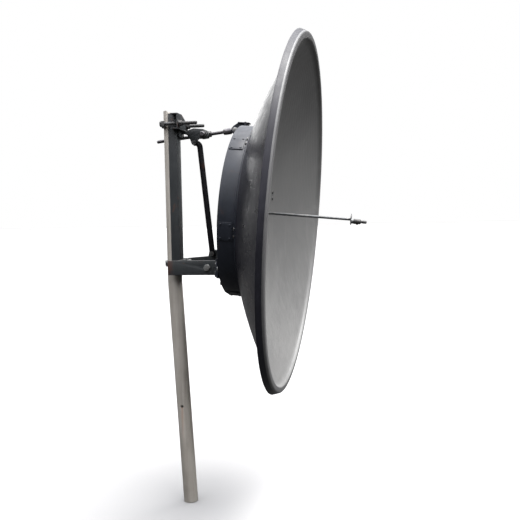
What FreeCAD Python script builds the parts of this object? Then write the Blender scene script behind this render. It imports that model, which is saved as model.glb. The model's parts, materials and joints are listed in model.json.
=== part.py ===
import FreeCAD, Part
import math
import os
import Sketcher

# Prime-focus reflector dish on a bent tubular mast.
# Row frame: origin at the centre of the mast's foot, +X the way the dish faces, +Z up the
# straight upper mast. Three working frames hang off it:
#   mast  the row frame itself
#   head  origin on the upper mast's axis at the elevation pivots' height
#   dish  origin at the centre of the rim's front plane, +X along the boresight
# plus one for the elevation rod, with its origin at the clevis pin.

Vector = FreeCAD.Vector
Placement = FreeCAD.Placement
Rotation = FreeCAD.Rotation

doc = FreeCAD.newDocument("dish")
os.makedirs("parts", exist_ok=True)

# ---------------------------------------------------------------- sizes
SIZES = [
    ("mast_radius", 25.0),
    ("mast_wall", 4.0),
    ("mast_top", 1383.0),
    ("bend_level", 783.0),
    ("bend_radius", 900.0),
    ("lean_degrees", 2.8),
    ("drain_level", 347.0),
    ("drain_radius", 5.0),
    ("pivot_level", 841.0),
    ("angle_outer", 29.1),
    ("angle_inner", 25.1),
    ("angle_low", -25.0),
    ("angle_long", 556.0),
    ("saddle_thick", 18.0),
    ("jaw_radius", 32.5),
    ("bolt_radius", 6.0),
    ("bolt_head", 7.5),
    ("bolt_corner", 10.4),
    ("nut_high", 10.0),
    ("washer_radius", 12.0),
    ("washer_thick", 2.5),
    ("clamp_half", 46.0),
    ("top_clamp_level", 494.0),
    ("low_clamp_level", 14.0),
    ("channel_low", 474.0),
    ("channel_high", 528.0),
    ("channel_front", 43.0),
    ("channel_back", 17.0),
    ("channel_half", 62.0),
    ("channel_gauge", 4.0),
    ("plate_gauge", 6.0),
    ("arm_inner", 60.0),
    ("arm_back", -4.0),
    ("arm_front", 165.0),
    ("arm_half_height", 25.0),
    ("pivot_forward", 136.0),
    ("ear_inner", 52.0),
    ("brace_radius", 10.0),
    ("brace_wall", 2.5),
    ("brace_lateral", 47.1),
    ("swivel_forward", 108.0),
    ("swivel_level", 462.0),
    ("rod_lateral", 52.0),
    ("rod_radius", 6.0),
    ("rod_long", 271.0),
    ("rod_start", -291.0),
    ("rod_degrees", 5.96),
    ("clevis_forward", 220.0),
    ("clevis_level", 473.7),
    ("rim_forward", 446.0),
    ("rim_level", 172.0),
    ("dish_degrees", 5.36),
    ("rim_radius", 600.0),
    ("bowl_depth", 200.0),
    ("focal", 436.6),
    ("shell_gauge", 2.5),
    ("ring_radius", 290.0),
    ("ring_wall", 3.0),
    ("ring_back", -212.6),
    ("ring_lip", 22.0),
    ("ring_front", -155.6),
    ("flange_outer", 309.0),
    ("hub_radius", 45.0),
    ("sleeve_radius", 11.0),
    ("boom_radius", 4.5),
    ("boom_long", 345.0),
    ("feed_disc_radius", 19.0),
    ("feed_head_radius", 8.5),
    ("feed_drop", 6.0),
    ("run_fit", 0.05),
]

sizes = doc.addObject("Spreadsheet::Sheet", "sizes")
for row, (alias, value) in enumerate(SIZES, start=1):
    sizes.set(f"A{row}", alias)
    sizes.set(f"B{row}", str(value))
    sizes.setAlias(f"B{row}", alias)
doc.recompute()


def num(term):
    """A number, or a size's name with an optional leading minus."""
    if isinstance(term, str):
        if term.startswith("-"):
            return -float(sizes.get(term[1:]))
        return float(sizes.get(term))
    return float(term)


def bind(item, path, term):
    """Ties a property to the sheet where the term names a size."""
    if isinstance(term, str):
        sign = "-" if term.startswith("-") else ""
        item.setExpression(path, f"{sign}sizes.{term.lstrip('-')}")


# ---------------------------------------------------------------- frames
lean = math.radians(num("lean_degrees"))
axis_x = -num("bend_level") * math.tan(lean)
HEAD = Placement(Vector(axis_x, 0, num("pivot_level")), Rotation())


def head_point(x, y, z):
    return Vector(axis_x + x, y, num("pivot_level") + z)


DISH = Placement(
    head_point(num("rim_forward"), 0, num("rim_level")),
    Rotation(Vector(0, 1, 0), num("dish_degrees")),
)
ROD = Placement(
    head_point(num("clevis_forward"), num("rod_lateral"), num("clevis_level")),
    Rotation(Vector(0, 1, 0), -num("rod_degrees")),
)
MAST = Placement()


def in_dish(x, y, z):
    """A head-frame point in the dish frame."""
    return DISH.inverse().multVec(head_point(x, y, z))


pivot = in_dish(num("pivot_forward"), 0, 0)
clevis = in_dish(num("clevis_forward"), num("rod_lateral"), num("clevis_level"))
swivel = ROD.inverse().multVec(
    head_point(num("swivel_forward"), num("rod_lateral"), num("swivel_level"))
)
# the rod runs straight through the swivel, so only its distance from the clevis counts
swivel_back = swivel.x

# ---------------------------------------------------------------- primitives
ALONG_X = Rotation(Vector(0, 1, 0), 90)
ALONG_Y = Rotation(Vector(1, 0, 0), -90)
AGAINST_Y = Rotation(Vector(1, 0, 0), 90)
AGAINST_X = Rotation(Vector(0, 1, 0), -90)
UPRIGHT = Rotation()

exports = {}


def keep(item, label, frame):
    """Names a finished piece and puts it in its working frame."""
    item.Label = label
    item.Placement = frame.multiply(item.Placement)
    exports[label] = item
    return item


def cylinder(name, radius, height, at, turn=UPRIGHT, angle=360.0):
    item = doc.addObject("Part::Cylinder", name)
    item.Radius = num(radius)
    item.Height = num(height)
    bind(item, "Radius", radius)
    bind(item, "Height", height)
    item.Angle = angle
    item.Placement = Placement(Vector(*at), turn)
    return item


def cone(name, low, high, height, at, turn=UPRIGHT):
    item = doc.addObject("Part::Cone", name)
    item.Radius1 = num(low)
    item.Radius2 = num(high)
    item.Height = num(height)
    item.Placement = Placement(Vector(*at), turn)
    return item


def box(name, low, high, turn=UPRIGHT):
    item = doc.addObject("Part::Box", name)
    item.Length = high[0] - low[0]
    item.Width = high[1] - low[1]
    item.Height = high[2] - low[2]
    item.Placement = Placement(Vector(*low), turn)
    return item


def hexagon(name, corner, height, at, turn=UPRIGHT):
    item = doc.addObject("Part::Prism", name)
    item.Polygon = 6
    item.Circumradius = num(corner)
    item.Height = num(height)
    bind(item, "Circumradius", corner)
    bind(item, "Height", height)
    item.Placement = Placement(Vector(*at), turn)
    return item


def fuse(name, items):
    item = doc.addObject("Part::MultiFuse", name)
    item.Shapes = items
    item.Refine = True
    return item


def cut(name, base, tools):
    item = doc.addObject("Part::Cut", name)
    item.Base = base
    item.Tool = tools[0] if len(tools) == 1 else fuse(name + "_tools", tools)
    item.Refine = True
    return item


def gather(name, items):
    item = doc.addObject("Part::Compound", name)
    item.Links = items
    return item


def ring(name, outer, inner, height, at, turn=UPRIGHT):
    """A flat ring, such as a washer."""
    hole = cylinder(name + "_bore", inner, height, at, turn)
    return cut(name, cylinder(name + "_disc", outer, height, at, turn), [hole])


def nut(name, corner, bore, height, at, turn=UPRIGHT):
    hole = cylinder(name + "_bore", bore, height, at, turn)
    return cut(name, hexagon(name + "_hex", corner, height, at, turn), [hole])


def bolt(name, corner, head, radius, long, at, turn=UPRIGHT):
    """A hexagon bolt whose head ends at `at` and whose shank runs on from there."""
    axis = turn.multVec(Vector(0, 0, 1))
    under = Vector(*at)
    top = under - axis * num(head)
    return fuse(
        name,
        [
            hexagon(name + "_head", corner, head, tuple(top), turn),
            cylinder(name + "_shank", radius, long, tuple(under), turn),
        ],
    )


def outline(body, plane, points, off=0.0):
    """A closed straight-sided sketch whose corners are tied to the sheet."""
    sketch = body.newObject("Sketcher::SketchObject", body.Name + "_sketch")
    index = {"XY": 3, "XZ": 4, "YZ": 5}[plane]
    sketch.AttachmentSupport = [(body.Origin.OriginFeatures[index], "")]
    sketch.MapMode = "FlatFace"
    sketch.AttachmentOffset = Placement(Vector(0, 0, off), Rotation())
    corners = [Vector(num(x), num(y), 0) for x, y in points]
    count = len(corners)
    for k in range(count):
        sketch.addGeometry(Part.LineSegment(corners[k], corners[(k + 1) % count]), False)
    for k in range(count):
        sketch.addConstraint(Sketcher.Constraint("Coincident", k, 2, (k + 1) % count, 1))
    for k, (x, y) in enumerate(points):
        for kind, term in (("DistanceX", x), ("DistanceY", y)):
            n = sketch.addConstraint(Sketcher.Constraint(kind, -1, 1, k, 1, num(term)))
            if isinstance(term, str):
                bind(sketch, f"Constraints[{n}]", term)
    return sketch


def padded(name, plane, points, thick, start):
    """A flat-sided prism: `start` is its low end along the plane's own row axis."""
    body = doc.addObject("PartDesign::Body", name + "_body")
    # the XZ plane's sketch faces -Y, so its prism starts at the far end
    low = -(start + num(thick)) if plane == "XZ" else start
    sketch = outline(body, plane, points, low)
    pad = body.newObject("PartDesign::Pad", name + "_pad")
    pad.Profile = sketch
    pad.Length = num(thick)
    bind(pad, "Length", thick)
    sketch.Visibility = False
    doc.recompute()
    return body


# ---------------------------------------------------------------- mast
tangent = num("bend_radius") * math.tan(lean / 2)
low_long = num("bend_level") / math.cos(lean) - tangent
up_start = num("bend_level") + tangent
up_long = num("mast_top") - up_start
lean_turn = Rotation(Vector(0, 1, 0), -num("lean_degrees"))
bend_turn = Rotation(Vector(-1, 0, 0), Vector(0, 0, -1), Vector(0, -1, 0), "ZXY")


def mast_solid(name, radius, over):
    """The bent bar of one radius; `over` runs it past both ends."""
    axis = lean_turn.multVec(Vector(0, 0, 1))
    foot = axis * -over
    lower = cylinder(name + "_low", radius, low_long + over, tuple(foot), lean_turn)
    bend = doc.addObject("Part::Torus", name + "_bend")
    bend.Radius1 = num("bend_radius")
    bind(bend, "Radius1", "bend_radius")
    bend.Radius2 = radius
    bend.Angle3 = num("lean_degrees")
    bend.Placement = Placement(
        Vector(axis_x + num("bend_radius"), 0, up_start), bend_turn
    )
    upper = cylinder(name + "_up", radius, up_long + over, (axis_x, 0, up_start))
    return fuse(name, [lower, bend, upper])


mast_outer = mast_solid("mast_outer", num("mast_radius"), 0.0)
mast_inner = mast_solid("mast_inner", num("mast_radius") - num("mast_wall"), 20.0)
drain_x = -num("drain_level") * math.tan(lean)
drain = cylinder(
    "mast_drain", "drain_radius", 60.0, (drain_x, 0, num("drain_level")), AGAINST_Y
)
# the top is sawn off at a slant on its forward side
slant = box("mast_slant", (0, 0, 0), (80, 80, 60))
slant.Placement = Placement(
    Vector(axis_x - 8, -40, num("mast_top")), Rotation(Vector(0, 1, 0), 45)
)
keep(cut("mast", mast_outer, [mast_inner, drain, slant]), "mast_tube", MAST)

plug_radius = num("mast_radius") - num("mast_wall") - 0.1
plug_low = num("mast_top") - 54.0
cap = fuse(
    "cap",
    [
        cylinder("cap_plug", plug_radius, 15.0, (axis_x, 0, plug_low)),
        cone("cap_crown", plug_radius, plug_radius - 5, 3.0, (axis_x, 0, plug_low + 15)),
    ],
)
keep(cap, "mast_cap", MAST)

# ---------------------------------------------------------------- upright and top clamp
upright = padded(
    "upright",
    "XY",
    [
        (-1.0, "-angle_outer"),
        ("angle_outer", "-angle_outer"),
        ("angle_outer", 15.0),
        ("angle_inner", 15.0),
        ("angle_inner", "-angle_inner"),
        (-1.0, "-angle_inner"),
    ],
    "angle_long",
    num("angle_low"),
)
keep(upright, "upright_angle", HEAD)

gauge = num("channel_gauge")
front = num("channel_front")
channel = padded(
    "channel",
    "XZ",
    [
        ("channel_back", "channel_high"),
        ("channel_front", "channel_high"),
        ("channel_front", "channel_low"),
        ("channel_back", "channel_low"),
        ("channel_back", num("channel_low") + gauge),
        (front - gauge, num("channel_low") + gauge),
        (front - gauge, num("channel_high") - gauge),
        ("channel_back", num("channel_high") - gauge),
    ],
    2 * num("channel_half"),
    -num("channel_half"),
)
notch = box("channel_notch", (10, -29.4, 470), (29.3, 26.0, 532))
top_level = num("top_clamp_level")
half = num("clamp_half")
hole_radius = num("bolt_radius") + 0.5
top_holes = [
    cylinder(f"channel_hole{k}", hole_radius, 20, (30, side * half, top_level), ALONG_X)
    for k, side in enumerate((-1, 1))
]
corner = padded(
    "channel_corner", "YZ", [(-16.0, 530.0), (64.0, 530.0), (64.0, 500.0)], 40.0, 10.0
)
keep(cut("channel_cut", channel, [notch, corner] + top_holes), "top_channel", HEAD)

packer = box("packer", (29.2, -27, 480), (front - gauge, 15, 522))
keep(packer, "top_packer", HEAD)

def saddle(name, level, back_face, wing):
    """The curved jaw behind the mast: a half shell with wings from `back_face` to `wing`."""
    thick = num("saddle_thick")
    low = level - thick / 2
    reach = num("clamp_half") + 11.0
    solid = fuse(
        name + "_solid",
        [
            cylinder(name + "_shell", "jaw_radius", thick, (0, 0, low)),
            box(name + "_wings", (back_face, -reach, low), (wing, reach, low + thick)),
        ],
    )
    tools = [
        cylinder(name + "_throat", num("mast_radius") + 0.3, thick + 10, (0, 0, low - 5)),
        box(name + "_front", (wing, -60, low - 5), (60, 60, low + thick + 5)),
    ]
    for k, side in enumerate((-1, 1)):
        at = (-30, side * half, level)
        tools.append(cylinder(f"{name}_hole{k}", hole_radius, 34, at, ALONG_X))
    return cut(name + "_cut", solid, tools)


clamp_washers = []
clamp_nuts = []


def clamp_set(name, level, seat, long, face):
    """Bolts, washers and nuts that draw a jaw onto the mast, from `seat` behind it to `face`."""
    bolts = []
    washers = []
    nuts = []
    for k, side in enumerate((-1, 1)):
        y = side * half
        bolts.append(
            bolt(
                f"{name}_bolt{k}",
                "bolt_corner",
                "bolt_head",
                "bolt_radius",
                long,
                (seat, y, level),
                ALONG_X,
            )
        )
        washers.append(
            ring(
                f"{name}_washer{k}",
                "washer_radius",
                num("bolt_radius") + 0.3,
                "washer_thick",
                (face, y, level),
                ALONG_X,
            )
        )
        nuts.append(
            nut(
                f"{name}_nut{k}",
                "bolt_corner",
                num("bolt_radius") + num("run_fit"),
                "nut_high",
                (face + num("washer_thick"), y, level),
                ALONG_X,
            )
        )
    keep(gather(name + "_bolt_set", bolts), name + "_bolts", HEAD)
    clamp_washers.extend(washers)
    clamp_nuts.extend(nuts)


keep(saddle("top_jaw", top_level, -16.0, -8.0), "top_saddle", HEAD)
clamp_set("top_clamp", top_level, -16.0, 123.0, front)

# ---------------------------------------------------------------- top arm and brace
arm_side = 31.0
swivel_x = num("swivel_forward")
swivel_z = num("swivel_level")
arm_plate = padded(
    "top_arm_plate",
    "XZ",
    [
        (35.2, 473.8),
        (43.1, 473.8),
        (56.0, 480.0),
        (72.0, 484.5),
        (106.0, 481.0),
        (119.0, 475.0),
        (127.0, 463.0),
        (124.0, 452.0),
        (112.0, 447.0),
        (91.0, 447.0),
        (83.0, 438.0),
        (80.5, 430.0),
        (73.0, 426.0),
        (65.5, 430.0),
        (61.5, 438.0),
        (57.0, 451.0),
        (48.0, 462.0),
        (35.2, 466.0),
    ],
    "plate_gauge",
    arm_side,
)
arm_foot = box(
    "top_arm_foot", (29.2, -22, 452), (35.3, arm_side + num("plate_gauge"), 473.8)
)
brace_top = (73.0, 434.5)
arm_holes = [
    cylinder("swivel_hole", 8 + num("run_fit"), 12, (swivel_x, 28, swivel_z), ALONG_Y),
    cylinder("brace_hole", 5.4, 12, (brace_top[0], 28, brace_top[1]), ALONG_Y),
]
arm_solid = fuse("top_arm_solid", [arm_plate, arm_foot])
keep(cut("top_arm_cut", arm_solid, arm_holes), "top_arm", HEAD)

brace_low = (126.0, 42.0)
brace_bend = 17.0
brace_y = num("brace_lateral")


def brace_solid(name, radius, over):
    """A round bar: level at the top, one bend, then straight down to the far yoke arm."""
    sketch = doc.addObject("Sketcher::SketchObject", name + "_path")
    sketch.Placement = Placement(Vector(0, brace_y, 0), Rotation(Vector(1, 0, 0), 90))
    corner_x = 88.2
    corner = Vector(corner_x, brace_top[1], 0)
    end = Vector(brace_low[0], brace_low[1], 0)
    down = end - corner
    down.normalize()
    turn = math.acos(down.x)
    run = brace_bend * math.tan(turn / 2)
    first = Vector(corner_x - run, brace_top[1], 0)
    second = corner + down * run
    start = Vector(brace_top[0] - 10 - over, brace_top[1], 0)
    stop = end + down * (9.5 + over)
    middle = Vector(first.x, first.y - brace_bend, 0)
    sketch.addGeometry(Part.LineSegment(start, first), False)
    sketch.addGeometry(
        Part.ArcOfCircle(
            Part.Circle(middle, Vector(0, 0, 1), brace_bend),
            math.pi / 2 - turn,
            math.pi / 2,
        ),
        False,
    )
    sketch.addGeometry(Part.LineSegment(second, stop), False)
    sketch.addConstraint(Sketcher.Constraint("Tangent", 0, 2, 1, 2))
    sketch.addConstraint(Sketcher.Constraint("Tangent", 1, 1, 2, 1))
    section = doc.addObject("Part::Circle", name + "_section")
    section.Radius = radius
    section.Placement = Placement(Vector(start.x, brace_y, start.y), ALONG_X)
    sweep = doc.addObject("Part::Sweep", name)
    sweep.Sections = [section]
    sweep.Spine = (sketch, ["Edge1", "Edge2", "Edge3"])
    sweep.Solid = True
    sweep.Frenet = False
    doc.recompute()
    return sweep


brace_outer = brace_solid("brace_outer", num("brace_radius"), 0.0)
brace_inner = brace_solid("brace_inner", num("brace_radius") - num("brace_wall"), 4.0)
brace_holes = [
    cylinder("brace_hole_top", 5.4, 30, (brace_top[0], 32, brace_top[1]), ALONG_Y),
    cylinder("brace_hole_low", 5.4, 30, (brace_low[0], 32, brace_low[1]), ALONG_Y),
]
brace_mitre = padded(
    "brace_mitre",
    "XZ",
    [(50.0, 446.0), (61.0, 440.0), (69.0, 424.0), (69.0, 414.0), (50.0, 414.0)],
    24.0,
    brace_y - 12,
)
brace_tools = [brace_inner, brace_mitre] + brace_holes
keep(cut("brace_cut", brace_outer, brace_tools), "brace_tube", HEAD)

# the brace's two bolts: one into the top arm, one into the far yoke arm
m10_corner = 9.2
m10_radius = 5.0
brace_far = brace_y + num("brace_radius")
arm_in = num("arm_inner")
arm_out = arm_in + num("plate_gauge")
brace_bolts = [
    bolt(
        "brace_bolt_top",
        m10_corner,
        6.4,
        m10_radius,
        40.0,
        (brace_top[0], 31.0, brace_top[1]),
        ALONG_Y,
    ),
    bolt(
        "brace_bolt_low",
        m10_corner,
        6.4,
        m10_radius,
        44.0,
        (brace_low[0], 36.9, brace_low[1]),
        ALONG_Y,
    ),
]
brace_nuts = [
    nut(
        "brace_nut_top",
        m10_corner,
        5.05,
        8.4,
        (brace_top[0], brace_far + 0.1, brace_top[1]),
        ALONG_Y,
    ),
    nut(
        "brace_nut_low",
        m10_corner,
        5.05,
        8.4,
        (brace_low[0], arm_out, brace_low[1]),
        ALONG_Y,
    ),
    ring(
        "brace_spacer",
        9.0,
        5.4,
        arm_in - brace_far - 0.1,
        (brace_low[0], brace_far + 0.1, brace_low[1]),
        ALONG_Y,
    ),
]
keep(gather("brace_bolt_set", brace_bolts), "brace_bolts", HEAD)
keep(gather("brace_nut_set", brace_nuts), "brace_nuts", HEAD)

# ---------------------------------------------------------------- yoke and lower clamp
pivot_x = num("pivot_forward")
low_level = num("low_clamp_level")


def arm_holes_at(name, side, extra):
    """Pivot hole and any others through one yoke arm."""
    start = side * (arm_in + num("plate_gauge") / 2) - 8
    places = [(pivot_x, 0.0, num("bolt_radius") + 0.1)] + extra
    return [
        cylinder(f"{name}_hole{k}", radius, 16, (x, start, z), ALONG_Y)
        for k, (x, z, radius) in enumerate(places)
    ]


near_arm = padded(
    "near_arm",
    "XZ",
    [
        ("arm_back", "-arm_half_height"),
        ("arm_front", "-arm_half_height"),
        ("arm_front", "arm_half_height"),
        ("arm_back", "arm_half_height"),
    ],
    "plate_gauge",
    -arm_out,
)
keep(cut("near_arm_cut", near_arm, arm_holes_at("near_arm", -1, [])), "yoke_arm_near", HEAD)

far_arm = padded(
    "far_arm",
    "XZ",
    [
        ("arm_back", "-arm_half_height"),
        ("arm_front", "-arm_half_height"),
        ("arm_front", 31.0),
        (147.0, 34.0),
        (142.0, 51.0),
        (136.0, 56.0),
        (117.0, 56.0),
        (111.0, 51.0),
        (107.0, 33.0),
        ("arm_back", "arm_half_height"),
    ],
    "plate_gauge",
    arm_in,
)
far_holes = arm_holes_at("far_arm", 1, [(brace_low[0], brace_low[1], 5.4)])
keep(cut("far_arm_cut", far_arm, far_holes), "yoke_arm_far", HEAD)

web_front = 29.2 + num("plate_gauge")
web = padded(
    "web",
    "YZ",
    [
        ("-arm_inner", "-arm_half_height"),
        ("arm_inner", "-arm_half_height"),
        ("arm_inner", "arm_half_height"),
        ("-arm_inner", "arm_half_height"),
    ],
    "plate_gauge",
    29.2,
)
web_holes = [
    cylinder(f"web_hole{k}", hole_radius, 20, (22, side * half, low_level), ALONG_X)
    for k, side in enumerate((-1, 1))
]
keep(cut("web_cut", web, web_holes), "yoke_web", HEAD)
keep(saddle("low_jaw", low_level, -8.0, -1.3), "lower_saddle", HEAD)
clamp_set("lower_clamp", low_level, -8.0, 60.0, web_front)
keep(gather("clamp_washer_set", clamp_washers), "clamp_washers", HEAD)
keep(gather("clamp_nut_set", clamp_nuts), "clamp_nuts", HEAD)

# pivot bolts pass each arm and its ear; the far set mirrors the near one
ear_in = num("ear_inner")
ear_out = ear_in + num("plate_gauge")
pivot_bolts = []
pivot_washers = []
pivot_nuts = []
for side, inward, name in ((-1, ALONG_Y, "near"), (1, AGAINST_Y, "far")):
    seat = num("washer_thick")
    pivot_bolts.append(
        bolt(
            f"pivot_bolt_{name}",
            "bolt_corner",
            "bolt_head",
            "bolt_radius",
            33.5,
            (pivot_x, side * (arm_out + seat), 0),
            inward,
        )
    )
    for place, start in (("head", arm_out + seat), ("nut", ear_in - 0.1)):
        pivot_washers.append(
            ring(
                f"pivot_washer_{name}_{place}",
                "washer_radius",
                num("bolt_radius") + 0.3,
                "washer_thick",
                (pivot_x, side * start, 0),
                inward,
            )
        )
    pivot_nuts.append(
        nut(
            f"pivot_nut_{name}",
            "bolt_corner",
            num("bolt_radius") + num("run_fit"),
            "nut_high",
            (pivot_x, side * (ear_in - 0.1 - seat), 0),
            inward,
        )
    )
keep(gather("pivot_bolt_set", pivot_bolts), "pivot_bolts", HEAD)
keep(gather("pivot_washer_set", pivot_washers), "pivot_washers", HEAD)
keep(gather("pivot_nut_set", pivot_nuts), "pivot_nuts", HEAD)

# ---------------------------------------------------------------- swivel and elevation rod
rod_y = num("rod_lateral")
fit = num("run_fit")
block_half = 11.0
block = box(
    "block",
    (swivel_back - block_half, -12, -13),
    (swivel_back + block_half, 12, 13),
)
spigot = cylinder("spigot", 8.0, 31.0, (swivel_back, -12, 0), AGAINST_Y)
rod_bore = cylinder(
    "rod_bore", num("rod_radius") + fit, 40, (swivel_back - 20, 0, 0), ALONG_X
)
block_solid = fuse("block_solid", [block, spigot])
keep(cut("block_cut", block_solid, [rod_bore]), "swivel_block", ROD)

# washers either side of the top arm's plate, and the nut that holds the spigot in
plate_near = arm_side - rod_y
plate_far = arm_side + num("plate_gauge") - rod_y
swivel_rings = [
    ring("thrust", 13.0, 8.05, 2.9, (swivel_back, plate_far + 0.1, 0), ALONG_Y),
    ring("retainer", 13.0, 8.05, 2.0, (swivel_back, plate_near - 2.1, 0), ALONG_Y),
]
keep(gather("swivel_ring_set", swivel_rings), "swivel_washers", ROD)
spigot_nut = nut(
    "spigot_nut", 13.0, 8.05, 7.0, (swivel_back, plate_near - 9.1, 0), ALONG_Y
)
keep(spigot_nut, "swivel_nut", ROD)

adjusters = []
seats = []
for name, turn, side in (("front", ALONG_X, 1), ("back", AGAINST_X, -1)):
    seat = swivel_back + side * block_half
    seats.append(
        ring(
            f"adjust_washer_{name}",
            "washer_radius",
            num("rod_radius") + 0.3,
            "washer_thick",
            (seat, 0, 0),
            turn,
        )
    )
    adjusters.append(
        nut(
            f"adjust_nut_{name}",
            "bolt_corner",
            num("rod_radius") + fit,
            "nut_high",
            (seat + side * num("washer_thick"), 0, 0),
            turn,
        )
    )
keep(gather("adjust_washer_set", seats), "adjust_washers", ROD)
keep(gather("adjust_nut_set", adjusters), "adjust_nuts", ROD)

rod = cylinder("rod", "rod_radius", "rod_long", (num("rod_start"), 0, 0), ALONG_X)
keep(rod, "elevation_rod", ROD)

pin_play = 2.7
eye = cylinder("eye", 15.0, 14.0, (0, -7, 0), ALONG_Y)
shank = fuse(
    "eye_shank",
    [
        cylinder("eye_barrel", 11.0, 20.5, (-38, 0, 0), ALONG_X),
        cone("eye_taper", 11.0, 7.0, 3.5, (-17.5, 0, 0), ALONG_X),
        cylinder("eye_neck", 7.0, 6.0, (-14, 0, 0), ALONG_X),
    ],
)
eye_hole = cylinder("eye_hole", num("bolt_radius") + pin_play, 14.0, (0, -7, 0), ALONG_Y)
eye_bore = cylinder("eye_bore", num("rod_radius"), 18.0, (-38, 0, 0), ALONG_X)
keep(cut("eye_cut", fuse("eye_solid", [eye, shank]), [eye_hole, eye_bore]), "rod_eye", ROD)
lock = nut("lock", "bolt_corner", num("rod_radius") + fit, 6.0, (-44.2, 0, 0), ALONG_X)
keep(lock, "rod_locknut", ROD)

# ---------------------------------------------------------------- reflector
focal = num("focal")
depth = num("bowl_depth")
skin = num("shell_gauge")


def bowl_front(r):
    return -depth + r * r / (4 * focal)


def bowl_back(r):
    return bowl_front(r) - skin


rim = num("rim_radius")
hub_hole = 16.0
shell = doc.addObject("PartDesign::Body", "shell_body")
profile = shell.newObject("Sketcher::SketchObject", "shell_sketch")
profile.AttachmentSupport = [(shell.Origin.OriginFeatures[3], "")]
profile.MapMode = "FlatFace"
lip = rim - 28
chain = [
    Vector(bowl_front(lip), lip, 0),
    Vector(-1.5, lip + 5.5, 0),
    Vector(0, lip + 8.5, 0),
    Vector(0, rim - 7.5, 0),
    Vector(-1.0, rim - 3.8, 0),
    Vector(-3.4, rim - 1.2, 0),
    Vector(-7.0, rim, 0),
    Vector(-24, rim + 6.2, 0),
    Vector(-24.9, rim + 3.8, 0),
    Vector(-7.9, rim - 2.4, 0),
    Vector(-5.1, rim - 3.3, 0),
    Vector(-3.3, rim - 5.3, 0),
    Vector(-2.5, rim - 8.2, 0),
    Vector(-2.5, lip + 8.9, 0),
    Vector(-4.1, lip + 6.1, 0),
    Vector(bowl_back(lip + 0.6), lip + 0.6, 0),
]
# the bowl's curve is drawn as arcs through points of the parabola
ARC_ENDS = [hub_hole, 150.0, 265.0, 320.0, 450.0, lip]


def bowl_arcs(sketch, surface, ends):
    for low, high in zip(ends[:-1], ends[1:]):
        points = [Vector(surface(r), r, 0) for r in (low, (low + high) / 2, high)]
        sketch.addGeometry(Part.Arc(*points), False)


bowl_arcs(profile, bowl_front, ARC_ENDS)
for k in range(len(chain) - 1):
    profile.addGeometry(Part.LineSegment(chain[k], chain[k + 1]), False)
bowl_arcs(profile, bowl_back, ARC_ENDS[:-1] + [lip + 0.6])
profile.addGeometry(
    Part.LineSegment(
        Vector(bowl_back(hub_hole), hub_hole, 0), Vector(bowl_front(hub_hole), hub_hole, 0)
    ),
    False,
)
spin = shell.newObject("PartDesign::Revolution", "shell_spin")
spin.Profile = profile
spin.ReferenceAxis = (profile, ["H_Axis"])
spin.Angle = 360.0
profile.Visibility = False
doc.recompute()


def around(count, start=0.0, sweep=360.0):
    """Angles in degrees about the boresight, from the far side (+Y) towards the top."""
    return [start + sweep * k / count for k in range(count)]


def polar(x, r, degrees):
    a = math.radians(degrees)
    return (x, r * math.cos(a), r * math.sin(a))


def slope_turn(r, degrees):
    """Turns +Z to the bowl's own normal, facing the focus, at one point."""
    tilt = math.degrees(math.atan(r / (2 * focal)))
    about_x = Rotation(Vector(1, 0, 0), degrees)
    # +Z goes to +X, then leans in towards the boresight, then round to the point
    lean_in = Rotation(Vector(0, 0, 1), -tilt)
    return about_x.multiply(lean_in).multiply(ALONG_X)


# the ring's butt joints sit under straps; the flange is screwed on in pairs beside them
STRAPS = 6
strap_start = 12.3
strap_angles = around(STRAPS, strap_start)
screw_ring = 299.0
screw_angles = [centre + step for centre in strap_angles for step in (-2.2, 2.2)]
hub_ring = 30.0
hub_angles = around(4, 45.0)
shell_holes = []
for k, degrees in enumerate(screw_angles):
    at = Vector(*polar(bowl_back(screw_ring), screw_ring, degrees))
    turn = slope_turn(screw_ring, degrees)
    low = at - turn.multVec(Vector(0, 0, 1)) * 8
    shell_holes.append(cylinder(f"shell_hole{k}", 3.3, 16, tuple(low), turn))
for k, degrees in enumerate(hub_angles):
    low = polar(bowl_back(hub_ring) - 5, hub_ring, degrees)
    shell_holes.append(cylinder(f"shell_hub_hole{k}", 3.3, 12, low, ALONG_X))
keep(cut("shell_cut", shell, shell_holes), "reflector", DISH)

# ---------------------------------------------------------------- back ring
back = num("ring_back")
wall = num("ring_wall")
ring_r = num("ring_radius")
drum = doc.addObject("PartDesign::Body", "drum_body")
drum_sketch = outline(
    drum,
    "XY",
    [
        ("ring_back", "ring_radius"),
        ("ring_front", "ring_radius"),
        ("ring_front", ring_r - wall),
        (back + wall, ring_r - wall),
        (back + wall, ring_r - num("ring_lip")),
        ("ring_back", ring_r - num("ring_lip")),
    ],
)
drum_spin = drum.newObject("PartDesign::Revolution", "drum_spin")
drum_spin.Profile = drum_sketch
drum_spin.ReferenceAxis = (drum_sketch, ["H_Axis"])
drum_spin.Angle = 360.0
drum_sketch.Visibility = False
doc.recompute()

mount_ring = 279.0
mount_angles = [-138.0, -122.0, -106.0, -90.0, -74.0, -58.0, -42.0]
bracket_angles = []
for y in (rod_y - 22, rod_y + 22):
    bracket_angles.append(math.degrees(math.acos(y / mount_ring)))
drum_holes = [
    cylinder(f"drum_hole{k}", 4.4, 20, polar(back - 8, mount_ring, degrees), ALONG_X)
    for k, degrees in enumerate(mount_angles + bracket_angles)
]
keep(cut("drum_cut", drum, drum_holes), "back_ring", DISH)

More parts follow.
